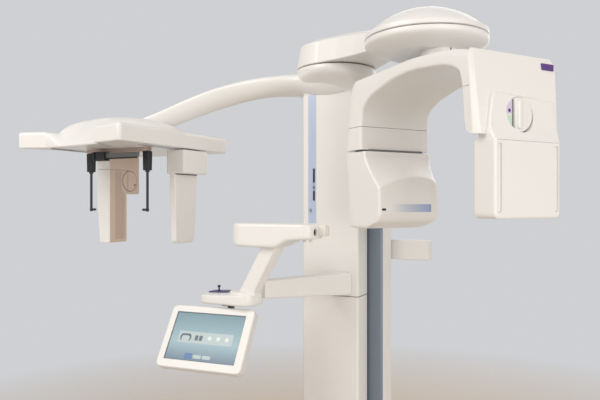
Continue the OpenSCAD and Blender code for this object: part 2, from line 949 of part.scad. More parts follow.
pad_t = 4;
pad_top = shell_z + shell_h - 2;
stick = [shell_x + 50, shell_y + 30];
stick_pin_r = 3.4;
stick_pin_l = 6;

module control_pad() {
    color("#3a2f6e") difference() {
        translate([shell_x + 60, shell_y + 26, pad_top - pad_t]) block(84, 50, pad_t, 12);
        translate([stick.x - stick_pin_l / 2 - fit, stick.y - stick_pin_r - fit, pad_top - stick_pin_r - fit])
            cube([stick_pin_l + 2 * fit, 2 * (stick_pin_r + fit), pad_t]);
    }
}

module joystick() {
    color("#2b2457") translate([stick.x, stick.y, pad_top]) {
        rotate([0, 90, 0]) cylinder(r = stick_pin_r, h = stick_pin_l, center = true, $fn = 32);
        cylinder(r = 2, h = 9);
        translate([0, 0, 9]) sphere(r = 6, $fn = 32);
    }
}

strut_d = 66;
strut_z0 = shell_z + shell_h;
strut_z1 = table_z - table_h;

module support_strut() {
    color(white) intersection() {
        strut_body(0);
        translate([-400, -700, strut_z0]) cube([600, 400, strut_z1 - strut_z0]);
    }
}

// The leaning bar of the strut, longer than it is cut
strut_over = 60;
module strut_body(grow) {
    translate([ring_x + 18, shell_y, strut_z0]) rotate([0, strut_lean, 0]) translate([0, 0, -strut_over])
        block(strut_w + 2 * grow, strut_d + 2 * grow, strut_z1 - strut_z0 + 3 * strut_over, 8);
}

module chin_table() {
    bottom = table_z - table_h;
    color(white) difference() {
        intersection() {
            translate([table_x + table_l / 2, table_y, bottom]) block(table_l, table_d, table_h, 36);
            rotate([90, 0, 0]) translate([0, 0, -table_y - table_d]) linear_extrude(2 * table_d) polygon([
                [table_x, bottom + 18], [table_x + 60, bottom], [table_x + 176, bottom],
                [table_x + 220, bottom + 14], [table_x + table_l, table_z - table_thin_h],
                [table_x + table_l, table_z - 6], [table_x + table_l - 20, table_z], [table_x + 24, table_z],
                [table_x, table_z - 20]
            ]);
        }
        translate([table_x + table_l - socket_l, table_y - 20, table_z - 26]) rotate([0, 90, 0])
            cylinder(d = socket_d, h = socket_l + 6);
        translate([table_x + 190, table_y, table_z - table_thin_h - 30]) block(60, 40, 50, 8);
    }
}

module socket_block() {
    color("#dcd8d0") translate([table_x + table_l, table_y + 4, table_z - 40]) cube([36, 34, 36]);
}

// Touch screen

module in_screen() {
    translate(screen_mid) rotate([0, 0, screen_turn]) rotate([90 - screen_lean, 0, 0]) children();
}

module screen_pivot() {
    color(dark) {
        pin(pivot.x, pivot.y, shell_z - fit - pivot_h, pivot_r, pivot_h);
        pin(pivot.x, pivot.y, shell_z - fit, stem_r, 18);
    }
}

stem_bottom = 974;

module screen_yoke() {
    color(dark) {
        difference() {
            union() {
                pin(pivot.x, pivot.y, stem_bottom, stem_r, shell_z - fit - pivot_h - stem_bottom);
                in_screen() translate([hinge.x, hinge.y, hinge.z]) rotate([0, 90, 0])
                    translate([0, 0, -14]) cylinder(r = hinge_r, h = 28);
                translate([pivot.x - 9, pivot.y - 36, stem_bottom + 2]) cube([18, 36, 14]);
            }
            in_screen() translate([hinge.x, hinge.y, hinge.z]) rotate([0, 90, 0])
                translate([0, 0, -20]) cylinder(r = 4, h = 40);
        }
    }
}

module screen_housing() {
    w = screen_w + 2 * screen_rim;
    h = screen_h + 2 * screen_rim;
    lug_t = 8;
    color(white) in_screen() {
        difference() {
            translate([0, 0, -screen_t]) block(w, h, screen_t, 20);
            translate([-screen_w / 2 - fit, -screen_h / 2 - fit, -6])
                cube([screen_w + 2 * fit, screen_h + 2 * fit, 10]);
        }
        for (side = [-1, 1])
            translate([hinge.x + side * (14.4 + lug_t / 2) - lug_t / 2, hinge.y - 8, hinge.z - 8])
                cube([lug_t, 16, -screen_t - hinge.z + 8]);
        translate([hinge.x - 22, hinge.y, hinge.z]) rotate([0, 90, 0]) cylinder(r = 3.7, h = 44);
    }
}

module screen_display() {
    color("#9fc0cc") in_screen() translate([-screen_w / 2, -screen_h / 2, -6]) cube([screen_w, screen_h, 5]);
}

base_plate();
stationary_column();
column_cap();
wall_bracket();
lift_motor();
lift_spindle();
guide_rails();
power_box();
lift_carriage();
column_frame();
upper_cover();
lower_cover();
blue_strip();
up_button();
down_button();
key_switch();
ceph_arm();
shoulder_bearing();
support_arm();
lower_shell();
control_pad();
joystick();
support_strut();
chin_table();
socket_block();
screen_pivot();
screen_yoke();
screen_housing();
screen_display();
ceph_board();
ceph_dome();
ceph_rails();
sensor_adapter();
ceph_cassette();
ceph_lock_knob();
collimator_carriage();
collimator_plate();
ear_carrier();
ear_holder_left();
ear_rod_left();
ear_holder_right();
ear_rod_right();
nasal_block();
nasal_bar();
link_base();
link_cover();
dome_cap();
elbow_bowl();
elbow_bearing();
carm_bearing();
carm_outer_cover();
carm_inner_cover();
carm_frame();
tube_housing();
tube_insert();
beam_collimator();
sensor_arm_cover();
sensor_housing();
detector_panel();
sensor_lock_knob();
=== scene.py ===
import json
import math

import bmesh
import bpy
from bpy.props import FloatProperty, FloatVectorProperty, PointerProperty
from mathutils import Matrix, Vector

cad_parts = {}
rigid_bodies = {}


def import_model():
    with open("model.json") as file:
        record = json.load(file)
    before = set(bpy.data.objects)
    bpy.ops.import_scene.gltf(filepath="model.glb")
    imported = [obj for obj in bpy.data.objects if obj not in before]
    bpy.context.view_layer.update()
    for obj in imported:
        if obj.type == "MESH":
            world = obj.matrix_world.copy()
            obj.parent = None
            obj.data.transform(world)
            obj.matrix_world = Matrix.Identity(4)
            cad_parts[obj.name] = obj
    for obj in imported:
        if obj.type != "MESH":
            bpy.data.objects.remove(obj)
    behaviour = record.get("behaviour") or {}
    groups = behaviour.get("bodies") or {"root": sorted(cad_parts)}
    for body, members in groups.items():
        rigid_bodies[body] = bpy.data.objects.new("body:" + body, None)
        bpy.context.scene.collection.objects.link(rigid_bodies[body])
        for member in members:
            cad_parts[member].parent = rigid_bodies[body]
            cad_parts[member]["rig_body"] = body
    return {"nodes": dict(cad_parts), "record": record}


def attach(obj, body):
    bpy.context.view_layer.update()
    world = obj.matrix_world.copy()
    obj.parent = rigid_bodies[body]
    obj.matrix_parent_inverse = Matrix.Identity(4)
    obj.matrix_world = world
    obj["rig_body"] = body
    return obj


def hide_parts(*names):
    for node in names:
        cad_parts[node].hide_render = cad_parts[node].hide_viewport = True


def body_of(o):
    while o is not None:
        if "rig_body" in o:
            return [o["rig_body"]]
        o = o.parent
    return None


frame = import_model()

bl_info = {
    "name": "Dental X-ray Scanner",
    "version": (1, 0, 0),
    "blender": (4, 5, 0),
    "location": "View3D > Sidebar > Scanner",
    "description": "Covers, controls and finishes of a dental x-ray ct scanner with a cephalometric arm",
    "category": "Add Mesh",
}

MM = 0.001
FULL_TURN = math.tau
SMOOTH_TO = 32


# Frames that the pieces are drawn in

def turned(x, y, degrees):
    return Matrix.Translation((x, y, 0)) @ Matrix.Rotation(math.radians(degrees), 4, "Z")


ELBOW = (419.07, -381.04)
SHOULDER = (0, -112)
WORLD = Matrix.Identity(4)
C_ARM = turned(*ELBOW, -36)
LINK = turned(*SHOULDER, -32.7)
SCREEN = turned(-264, -602, 5.2) @ Matrix.Translation((0, 0, 956)) @ Matrix.Rotation(math.radians(57.2), 4, "X")
# Drawn in x and z with the depth along y
UPRIGHT = Matrix(((1, 0, 0, 0), (0, 0, 1, 0), (0, 1, 0, 0), (0, 0, 0, 1)))
# Drawn in y and z with the depth along x
SIDE = Matrix(((0, 0, 1, 0), (1, 0, 0, 0), (0, 1, 0, 0), (0, 0, 0, 1)))


# Shares between 0 and 1

def unit(value):
    """The value, kept between 0 and 1."""
    return min(1, max(0, value))


def eased(value):
    """A soft start and a soft end between 0 and 1."""
    share = unit(value)
    return share * share * (3 - 2 * share)


def round_off(value):
    """How far a rounded edge has drawn in at a share of its length."""
    return 1 - math.sqrt(1 - unit(value) ** 2)


# Outlines, in millimetres

def fillet(corners, steps=6):
    """A closed outline whose corners (x, y, radius) are rounded."""
    outline = []
    for i, (x, y, radius) in enumerate(corners):
        corner = Vector((x, y))
        before = Vector(corners[i - 1][:2]) - corner
        after = Vector(corners[(i + 1) % len(corners)][:2]) - corner
        if radius == 0:
            outline.append(corner)
            continue
        reach = radius / math.tan(before.angle(after) / 2)
        reach = min(reach, before.length * 0.49, after.length * 0.49)
        start = corner + before.normalized() * reach
        end = corner + after.normalized() * reach
        for k in range(steps + 1):
            t = k / steps
            outline.append(start * (1 - t) ** 2 + corner * 2 * t * (1 - t) + end * t * t)
    return outline


def rounded_box(x0, x1, y0, y1, radius, steps=6):
    return fillet([(x0, y0, radius), (x1, y0, radius), (x1, y1, radius), (x0, y1, radius)], steps)


def circle(x, y, radius, steps=64):
    return [Vector((x + radius * math.cos(FULL_TURN * k / steps), y + radius * math.sin(FULL_TURN * k / steps)))
            for k in range(steps)]


def arc(x, y, radius, start, end, steps=40):
    """The part of a circle between two angles in degrees."""
    angles = [math.radians(start + (end - start) * k / steps) for k in range(steps + 1)]
    return [Vector((x + radius * math.cos(angle), y + radius * math.sin(angle))) for angle in angles]


def inset(outline, depth):
    """The outline moved inwards by one depth, or by one depth for each point."""
    count = len(outline)
    area = sum(outline[i - 1].cross(outline[i]) for i in range(count))
    inward = 1 if area > 0 else -1
    moved = []
    for i, point in enumerate(outline):
        before = (point - outline[i - 1]).normalized()
        after = (outline[(i + 1) % count] - point).normalized()
        first = Vector((-before.y, before.x)) * inward
        second = Vector((-after.y, after.x)) * inward
        middle = (first + second).normalized()
        share = depth[i] if isinstance(depth, (list, tuple)) else depth
        moved.append(point + middle * share / max(0.5, middle.dot(first)))
    return moved


def spread(outline, gap):
    """The outline with points added, so that none are further apart than the gap."""
    points = []
    for i, point in enumerate(outline):
        after = outline[(i + 1) % len(outline)]
        parts = max(1, math.ceil((after - point).length / gap))
        points += [point.lerp(after, k / parts) for k in range(parts)]
    return points


def through(rows, parts):
    """Rows of numbers on a smooth line through the given rows."""
    line = []
    for i in range(len(rows) - 1):
        p0, p1 = rows[max(i - 1, 0)], rows[i]
        p2, p3 = rows[i + 1], rows[min(i + 2, len(rows) - 1)]
        for k in range(parts):
            t = k / parts
            line.append([0.5 * (2 * b + (c - a) * t + (2 * a - 5 * b + 4 * c - d) * t * t
                                + (3 * b - a - 3 * c + d) * t ** 3)
                         for a, b, c, d in zip(p0, p1, p2, p3)])
    line.append(list(rows[-1]))
    return line


# Shapes

def skin(bm, rings):
    """A closed skin over rings that all have the same number of points."""
    order = bm.verts.layers.int.get("order") or bm.verts.layers.int.new("order")
    verts = bmesh.ops.create_circle(bm, segments=len(rings[0]), radius=1)["verts"]
    for i, vert in enumerate(verts):
        vert[order] = i
        vert.co = rings[0][i]
    first = edges = list({edge for vert in verts for edge in vert.link_edges})
    for ring in rings[1:]:
        made = bmesh.ops.extrude_edge_only(bm, edges=edges)["geom"]
        new = {item for item in made if isinstance(item, bmesh.types.BMVert)}
        edges = [item for item in made if isinstance(item, bmesh.types.BMEdge)
                 and item.verts[0] in new and item.verts[1] in new]
        for vert in new:
            vert.co = ring[vert[order]]
    bmesh.ops.contextual_create(bm, geom=first)
    bmesh.ops.contextual_create(bm, geom=edges)


def rim_rings(rim, steps):
    """Insets and depths down a rounded rim, from its flat to its side."""
    inwards, deep = rim
    for k in range(steps + 1):
        angle = math.pi / 2 * k / steps
        yield inwards, 1 - math.sin(angle), deep * (1 - math.cos(angle))


def slab(bm, outline, low, high, low_rim=(1, 1), high_rim=(1, 1), place=WORLD, steps=5):
    """A solid between two flats, whose rims (inwards, deep) are rounded."""
    shape = outline if callable(outline) else lambda height: outline
    rings = []

    def ring(height, inwards, share):
        here = shape(height)
        if isinstance(inwards, (list, tuple)):
            depth = [share * value for value in inwards]
        else:
            depth = share * inwards
        rings.append([place @ Vector((*point, height)) for point in inset(here, depth)])

    ring(low, low_rim[0], 1.08)
    for inwards, share, deep in rim_rings(low_rim, steps):
        ring(low + deep, inwards, share)
    for inwards, share, deep in reversed(list(rim_rings(high_rim, steps))):
        ring(high - deep, inwards, share)
    ring(high, high_rim[0], 1.08)
    skin(bm, rings)


def solid(*shape, **more):
    """A new mesh with one slab in it."""
    bm = bmesh.new()
    slab(bm, *shape, **more)
    return bm


def turning(bm, profile, x, y, place=WORLD, steps=96):
    """A closed solid turned round an axis from a profile of radius and height."""
    verts = [bm.verts.new((x + radius, y, height)) for radius, height in profile]
    edges = [bm.edges.new(pair) for pair in zip(verts, verts[1:])]
    made = bmesh.ops.spin(bm, geom=verts + edges, cent=(x, y, 0), axis=(0, 0, 1), angle=FULL_TURN,
                          steps=steps, use_merge=True)["geom_last"]
    around = {vert for vert in made if isinstance(vert, bmesh.types.BMVert)} | set(verts)
    grown = set()
    while around:
        grown |= around
        around = {edge.other_vert(vert) for vert in around for edge in vert.link_edges} - grown
    bmesh.ops.transform(bm, matrix=place, verts=list(grown))


def skinned(rings):
    """A new mesh with one skin in it."""
    bm = bmesh.new()
    skin(bm, rings)
    return bm


def spun(*shape, **more):
    """A new mesh with one turned solid in it."""
    bm = bmesh.new()
    turning(bm, *shape, **more)
    return bm


# Pieces

def mesh_of(name, bm):
    mesh = bpy.data.meshes.new(name)
    bm.to_mesh(mesh)
    bm.free()
    return mesh


def add_object(name, data):
    made = bpy.data.objects.new(name, data)
    bpy.context.scene.collection.objects.link(made)
    return made


def link_piece(name, mesh, coat, body, nodes):
    piece = add_object(name, mesh)
    mesh.materials.append(coat_of(coat))
    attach(piece, body)
    if nodes:
        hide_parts(*nodes)
    return piece


def shade(mesh, crease=SMOOTH_TO):
    """Smooth shading up to an angle, with the flats left flat."""
    mesh.shade_smooth()
    mesh.set_sharp_from_angle(angle=math.radians(crease))
    for face in mesh.polygons:
        if face.loop_total > 4 or face.area > 4e-4:
            face.use_smooth = False


def piece(name, bm, coat, body, slot, *nodes, crease=SMOOTH_TO):
    """Makes the mesh a piece that rides on its body and stands for its nodes."""
    bmesh.ops.remove_doubles(bm, verts=bm.verts, dist=0.01)
    bmesh.ops.dissolve_degenerate(bm, dist=0.005, edges=bm.edges)
    bmesh.ops.recalc_face_normals(bm, faces=bm.faces)
    bmesh.ops.scale(bm, vec=(MM, MM, MM), verts=bm.verts)
    mesh = mesh_of(name, bm)
    shade(mesh, crease)
    return link_piece(name, mesh, coat, body, nodes)


def paint_shaded_side(made, coat, direction):
    """Paints the faces that look one way in another finish: painted shade with a painted warm reflection on the side
    turned from the light.
    """
    made.data.materials.append(coat_of(coat))
    for face in made.data.polygons:
        if face.normal.dot(Vector(direction)) > 0.7:
            face.material_index = 1


def soften(node, coat, width):
    """A copy of a plain solid with its edges rounded, which stands for it."""
    source = frame["nodes"][node]
    bm = bmesh.new()
    bm.from_mesh(source.data)
    bmesh.ops.remove_doubles(bm, verts=bm.verts, dist=1e-5)
    bmesh.ops.dissolve_limit(bm, angle_limit=math.radians(1), verts=bm.verts, edges=bm.edges)
    name = node + "_finish"
    mesh = mesh_of(name, bm)
    mesh.shade_smooth()
    mesh.set_sharp_from_angle(angle=math.radians(SMOOTH_TO))
    made = link_piece(name, mesh, coat, body_of(source)[0], [node])
    bevel = made.modifiers.new("edges", "BEVEL")
    bevel.width = width * MM
    bevel.segments = 3
    bevel.limit_method = "ANGLE"
    bevel.angle_limit = math.radians(SMOOTH_TO)
    bevel.harden_normals = True
    return made


def slot_of(node):
    return next(row["material_slot"] for row in frame["record"]["subparts"] if row["node"] == node)


# Finishes

FINISHES = {}
UNEVEN_GLOSS = 0.06
GRAIN_DEPTH = 0.0004


def set_inputs(tree, node, inputs):
    """Gives each input its value, or a link where the value is the output of another node."""
    for name, value in inputs.items():
        if isinstance(value, bpy.types.NodeSocket):
            tree.links.new(value, node.inputs[name])
        else:
            node.inputs[name].default_value = value


def add_node(tree, kind, inputs, output=None, **settings):
    """Adds a shader node and returns it, or the output that is asked for."""
    node = tree.nodes.new("ShaderNode" + kind)
    for name, value in settings.items():
        setattr(node, name, value)
    set_inputs(tree, node, inputs)
    return node.outputs[output] if output else node


def finish(name, colour, roughness, metallic=0.0, scale=(1, 1, 1), grain=900, bump=0.03, tone=0.05, coat=0.0):
    """A material with a fine surface grain, a slow change of tone and an uneven gloss."""
    made = bpy.data.materials.new(name)
    made.use_nodes = True
    tree = made.node_tree
    where = add_node(tree, "TexCoord", {}, "Object")
    placed = add_node(tree, "Mapping", {"Vector": where, "Scale": scale}, "Vector")
    fine = add_node(tree, "TexNoise", {"Vector": placed, "Scale": grain, "Detail": 2}, "Fac")
    broad = add_node(tree, "TexNoise", {"Vector": placed, "Scale": 5, "Detail": 3}, "Fac")
    darker = (*[part * (1 - tone) for part in colour], 1)
    lighter = (*[min(1, part * (1 + tone)) for part in colour], 1)
    smoother, rougher = max(0.05, roughness - UNEVEN_GLOSS), min(1, roughness + UNEVEN_GLOSS)
    set_inputs(tree, tree.nodes["Principled BSDF"], {
        "Metallic": metallic,
        "Coat Weight": coat,
        "Coat Roughness": 0.12,
        "Base Color": add_node(tree, "Mix", {"A": darker, "B": lighter, "Factor": broad}, "Result", data_type="RGBA"),
        "Roughness": add_node(tree, "MapRange", {"To Min": smoother, "To Max": rougher, "Value": broad}, "Result"),
        "Normal": add_node(tree, "Bump", {"Strength": bump, "Distance": GRAIN_DEPTH, "Height": fine}, "Normal"),
    })
    FINISHES[name] = made
    return made


def fading(name, stops, start, end, roughness, coat=0.0):
    """A glossy material whose colour runs along a line between two points."""
    tree = finish(name, stops[0][1], roughness, grain=1500, bump=0.01, tone=0.04, coat=coat).node_tree
    along = Vector(end) - Vector(start)
    where = add_node(tree, "TexCoord", {}, "Object")
    reach = add_node(tree, "VectorMath", {0: where, 1: start}, "Vector", operation="SUBTRACT")
    share = add_node(tree, "VectorMath", {0: reach, 1: along / along.length_squared}, "Value",
                     operation="DOT_PRODUCT")
    run = add_node(tree, "ValToRGB", {"Fac": share})
    ends = run.color_ramp.elements
    for element, (position, colour) in ((ends[0], stops[0]), (ends[1], stops[-1])):
        element.position, element.color = position, (*colour, 1)
    for position, colour in stops[1:-1]:
        ends.new(position).color = (*colour, 1)
    set_inputs(tree, tree.nodes["Principled BSDF"], {"Base Color": run.outputs["Color"]})


def finish_table():
    """Colour, roughness and the other values of each finish."""
    look = looks()
    white, upright = tuple(look.white), (1, 1, 0.02)
    return {
        "moulded_white": (white, 0.34, dict(grain=420, bump=0.05, tone=0.012, coat=0.15)),
        "powder_white": (tuple(part * 0.97 for part in white), 0.46, dict(bump=0.09, tone=0.015)),
        "bezel_white": (tuple(part * 0.88 for part in white), 0.3, dict(tone=0.01, coat=0.2)),
        "strip_film": (tuple(look.strip), 0.3, dict(grain=1200, tone=0.04, coat=0.2)),
        "column_anodised": (tuple(look.column), 0.38, dict(metallic=0.35, scale=upright, bump=0.06)),
        "column_edge": ((0.50, 0.60, 0.78), 0.35, dict(metallic=0.2, scale=upright, bump=0.05, tone=0.04)),
        "brushed_steel": ((0.55, 0.56, 0.58), 0.32, dict(metallic=1, scale=(1, 1, 0.03), grain=1400, bump=0.12,
                                                         tone=0.07)),
        "cast_alloy": ((0.50, 0.51, 0.52), 0.55, dict(metallic=0.9, grain=260, bump=0.3, tone=0.08)),
        "grained_black": ((0.018, 0.018, 0.021), 0.5, dict(grain=1100, bump=0.25, tone=0.2)),
        "grained_grey": ((0.16, 0.165, 0.17), 0.48, dict(grain=1100, bump=0.2, tone=0.1)),
        # This tan is a painted orange reflection, not the parts' own colour.
        "tan_painted_reflection": (tuple(look.carrier), 0.45, dict(grain=700, bump=0.08, tone=0.04)),
        # This peach is painted shade with a painted orange reflection, laid on white covers.
        "peach_painted_shade": ((0.62, 0.50, 0.42), 0.4, dict(grain=700, bump=0.06, tone=0.04)),
        "purple_plate": (tuple(look.purple), 0.3, dict(grain=1200, bump=0.02, tone=0.06, coat=0.3)),
        "indigo_pad": ((0.035, 0.022, 0.13), 0.4, dict(grain=1100, bump=0.12, tone=0.1)),
        "socket_ivory": ((0.75, 0.73, 0.68), 0.4, dict(bump=0.05, tone=0.03)),
        "lilac_field": ((0.62, 0.56, 0.74), 0.35, dict(tone=0.03)),
        "green_field": ((0.55, 0.72, 0.58), 0.35, dict(tone=0.03)),
        "red_dot": ((0.5, 0.03, 0.02), 0.35, {}),
        "panel_glass": ((0.38, 0.47, 0.49), 0.25, dict(bump=0.01, tone=0.02)),
        "icon_blue": ((0.04, 0.13, 0.34), 0.3, dict(bump=0.01)),
        "icon_pale": ((0.62, 0.68, 0.68), 0.3, dict(bump=0.01, tone=0.03)),
        "icon_dark": ((0.05, 0.09, 0.12), 0.3, dict(bump=0.01)),
    }


def coat_of(name):
    """The named finish, made on first use."""
    if name not in FINISHES:
        colour, roughness, values = finish_table()[name]
        finish(name, colour, roughness, **values)
    return FINISHES[name]


# Sizes and colours that a user would change

class ScannerLooks(bpy.types.PropertyGroup):
    white: FloatVectorProperty(name="White", description="Colour of the moulded covers", subtype="COLOR", size=3,
                               min=0, max=1, default=(0.80, 0.79, 0.775))
    strip: FloatVectorProperty(name="Strip", description="Colour of the strip on the moving column",
                               subtype="COLOR", size=3, min=0, max=1, default=(0.46, 0.53, 0.70))
    column: FloatVectorProperty(name="Column", description="Colour of the stationary column's profile",
                                subtype="COLOR", size=3, min=0, max=1, default=(0.20, 0.245, 0.30))
    # The carrier's default tan is a painted orange reflection.
    carrier: FloatVectorProperty(name="Carrier", description="Colour of the ear post carrier", subtype="COLOR",
                                 size=3, min=0, max=1, default=(0.50, 0.40, 0.34))
    purple: FloatVectorProperty(name="Plate", description="Colour of the small plate on the sensor arm",
                                subtype="COLOR", size=3, min=0, max=1, default=(0.09, 0.025, 0.20))
    backdrop: FloatVectorProperty(name="Backdrop", description="Colour behind the scanner", subtype="COLOR",
                                  size=3, min=0, max=1, default=(0.62, 0.63, 0.65))
    link_top: FloatProperty(name="Link height", description="Height of the shoulder link's top over the floor",
                            subtype="DISTANCE", unit="LENGTH", default=2.013, min=2.01, max=2.013)
    dome_peak: FloatProperty(name="Dome height", description="Height of the elbow dome over the floor",
                             subtype="DISTANCE", unit="LENGTH", default=2.004, min=1.98, max=2.012)
    groove: FloatProperty(name="Finger groove", description="Depth of the grooves in the sensor housing",
                          subtype="DISTANCE", unit="LENGTH", default=0.006, min=0.001, max=0.008)
    key_light: FloatProperty(name="Key light", description="Power of the large lamp", unit="POWER", default=80,
                             min=0)
    lens: FloatProperty(name="Lens", description="Focal length in millimetres", default=36, min=10, max=200)


def looks():
    return bpy.context.scene.scanner_looks


class PieceOperator:
    """Shared by the operators that make pieces."""
    bl_options = {"REGISTER", "UNDO"}

    def execute(self, context):
        if not frame["nodes"]:
            raise RuntimeError("The packed frame is missing, so the pieces have nothing to ride on")
        self.build()
        return {"FINISHED"}


# Columns

class SCANNER_OT_columns(PieceOperator, bpy.types.Operator):
    """The stationary column with its cap, the wall bracket, the base and the covers of the moving column"""
    bl_idname = "scanner.columns"
    bl_label = "Columns"

    BRACKET_ENDS = (-113, 313)
    # Inner and outer face of the side panels, and their low and high ends
    PANEL_FACES = (160, 167.8)
    PANEL_ENDS = (32, 1369)

    def build(self):
        soften("stationary_column", "column_anodised", 0.8)
        soften("column_cap", "moulded_white", 3)
        soften("base_plate", "cast_alloy", 2)
        soften("upper_cover", "powder_white", 1.2)
        soften("lower_cover", "powder_white", 1.2)
        self.bracket()
        self.side_panels()

    def bracket(self):
        bm = solid(rounded_box(60.2, 119.8, 1177, 1253, 5), *self.BRACKET_ENDS, (1.6, 1.6), (1.6, 1.6), SIDE)
        piece("wall_bracket_cover", bm, "powder_white", "stand", "white_paint", "wall_bracket")

    def side_panels(self):
        """Pale panels on the sides of the stationary column and a blue line along its left corner."""
        bm = bmesh.new()
        for side in (-1, 1):
            faces = sorted(side * face for face in self.PANEL_FACES)
            slab(bm, rounded_box(*faces, -50, 52, 2), *self.PANEL_ENDS, (0.6, 0.6), (0.6, 0.6))
        piece("column_side_panels", bm, "powder_white", "stand", "white_paint")
        bm = solid(rounded_box(-165, -157, -60.8, -58, 0.8), 30, 1370, (0.3, 0.3), (0.3, 0.3))
        piece("column_corner_line", bm, "column_edge", "stand", "anodised")


class SCANNER_OT_controls(PieceOperator, bpy.types.Operator):
    """The blue strip of the moving column with its buttons, mark and key"""
    bl_idname = "scanner.controls"
    bl_label = "Column controls"

    def build(self):
        soften("blue_strip", "strip_film", 0.5)
        for node, low, high in (("up_button", 1476, 1532), ("down_button", 1408, 1448)):
            bm = solid(rounded_box(-69, -63, low + 2, high - 2, 3), -173.6, -171, (1.2, 0.9), (0.3, 0.3), UPRIGHT)
            piece(node + "_cap", bm, "grained_black", node, "dark_plastic", node)
        bm = solid(rounded_box(-69.5, -62.5, 1453, 1466, 1.5), -174.4, -173.9, (0.3, 0.2), (0.1, 0.1), UPRIGHT)
        piece("strip_mark", bm, "grained_grey", "moving_column", "grey_plastic")
        bm = solid(circle(-66, 1472, 1.8, 20), -174.6, -173.9, (0.4, 0.3), (0.1, 0.1), UPRIGHT)
        piece("strip_lamp", bm, "red_dot", "moving_column", "grey_plastic")
        self.key()

    def key(self):
        bm = solid(circle(-80, 1373, 4, 32), -176, -168, (0.5, 0.5), (0.5, 0.5), UPRIGHT)
        bow = fillet([(-82, 1366, 2), (-78, 1366, 2), (-77.6, 1380, 2), (-82.4, 1380, 2)])
        slab(bm, bow, -181, -175.6, (0.8, 0.8), (0.5, 0.5), UPRIGHT)
        piece("key_bow", bm, "brushed_steel", "key_switch", slot_of("key_switch"), "key_switch")


# Ceph arm and shoulder

def lens_ring(x, y, top, crease, bottom, width, count=18):
    """A cross-section of the ceph arm: a crowned top band and a broad under side that meet in a crease."""
    ring = []
    for k in range(count):
        share = k / count
        ring.append(Vector((x, y - width / 2 * math.cos(math.pi * share),
                            crease + (top - crease) * math.sin(math.pi * share) ** 0.8)))
    for k in range(count):
        share = k / count
        ring.append(Vector((x, y + width / 2 * math.cos(math.pi * share),
                            crease - (crease - bottom) * math.sin(math.pi * share) ** 1.25)))
    return ring


def rounded_power(half_x, half_y, power, x, y, height, count=96):
    """A ring between a rounded rectangle and an ellipse."""
    ring = []
    for k in range(count):
        angle = FULL_TURN * k / count
        c, s = math.cos(angle), math.sin(angle)
        radius = (abs(c / half_x) ** power + abs(s / half_y) ** power) ** (-1 / power)
        ring.append(Vector((x + radius * c, y + radius * s, height)))
    return ring


class SCANNER_OT_ceph_arm(PieceOperator, bpy.types.Operator):
    """The long curved arm to the ceph head with the round shoulder flange it grows out of"""
    bl_idname = "scanner.ceph_arm"
    bl_label = "Ceph arm"

    # Middle x and y, top, crease, bottom and width of the arm
    STATIONS = (
        (70, -112, 1862, 1830, 1788, 125), (20, -112, 1882, 1848, 1786, 170), (-30, -112, 1892, 1860, 1790, 196),
        (-80, -112, 1898, 1864, 1800, 202), (-130, -113, 1903, 1869, 1814, 196), (-180, -117, 1905, 1876, 1822, 172),
        (-240, -122, 1905, 1882, 1826, 138), (-310, -131, 1904, 1882, 1824, 116), (-400, -154, 1891, 1869, 1808, 106),
        (-500, -190, 1864, 1843, 1779, 102), (-600, -228, 1824, 1804, 1743, 100), (-700, -273, 1775, 1758, 1703, 98),
        (-790, -318, 1736, 1723, 1675, 90),
    )
    # Half width and depth, power, middle x and y, and height of the flange's foot
    FLANGE = (
        (114, 50, 12, 0, -120, 1811), (114, 50, 12, 0, -120, 1812), (116, 56, 9, 0, -119, 1822),
        (121, 72, 6, 0, -118, 1836), (128, 94, 4, 0, -116, 1850), (136, 118, 3, 0, -114, 1863),
        (143, 136, 2.4, 0, -113, 1874), (148, 147, 2.05, 0, -112, 1884), (149, 149, 2, 0, -112, 1890),
    )

    def build(self):
        bm = skinned([lens_ring(*row) for row in through(self.STATIONS, 6)])
        rings = [rounded_power(*row) for row in through(self.FLANGE, 4)]
        rim = arc(147, 1891.5, 3, -60, 0, 4) + arc(147, 1902, 3, 0, 90, 4) + [(144, 1905), (80, 1905)]
        rings += [rounded_power(radius, radius, 2, *SHOULDER, height) for radius, height in rim]
        skin(bm, rings)
        piece("ceph_arm_shell", bm, "moulded_white", "moving_column", "white_plastic", "ceph_arm")


# Shoulder link and elbow

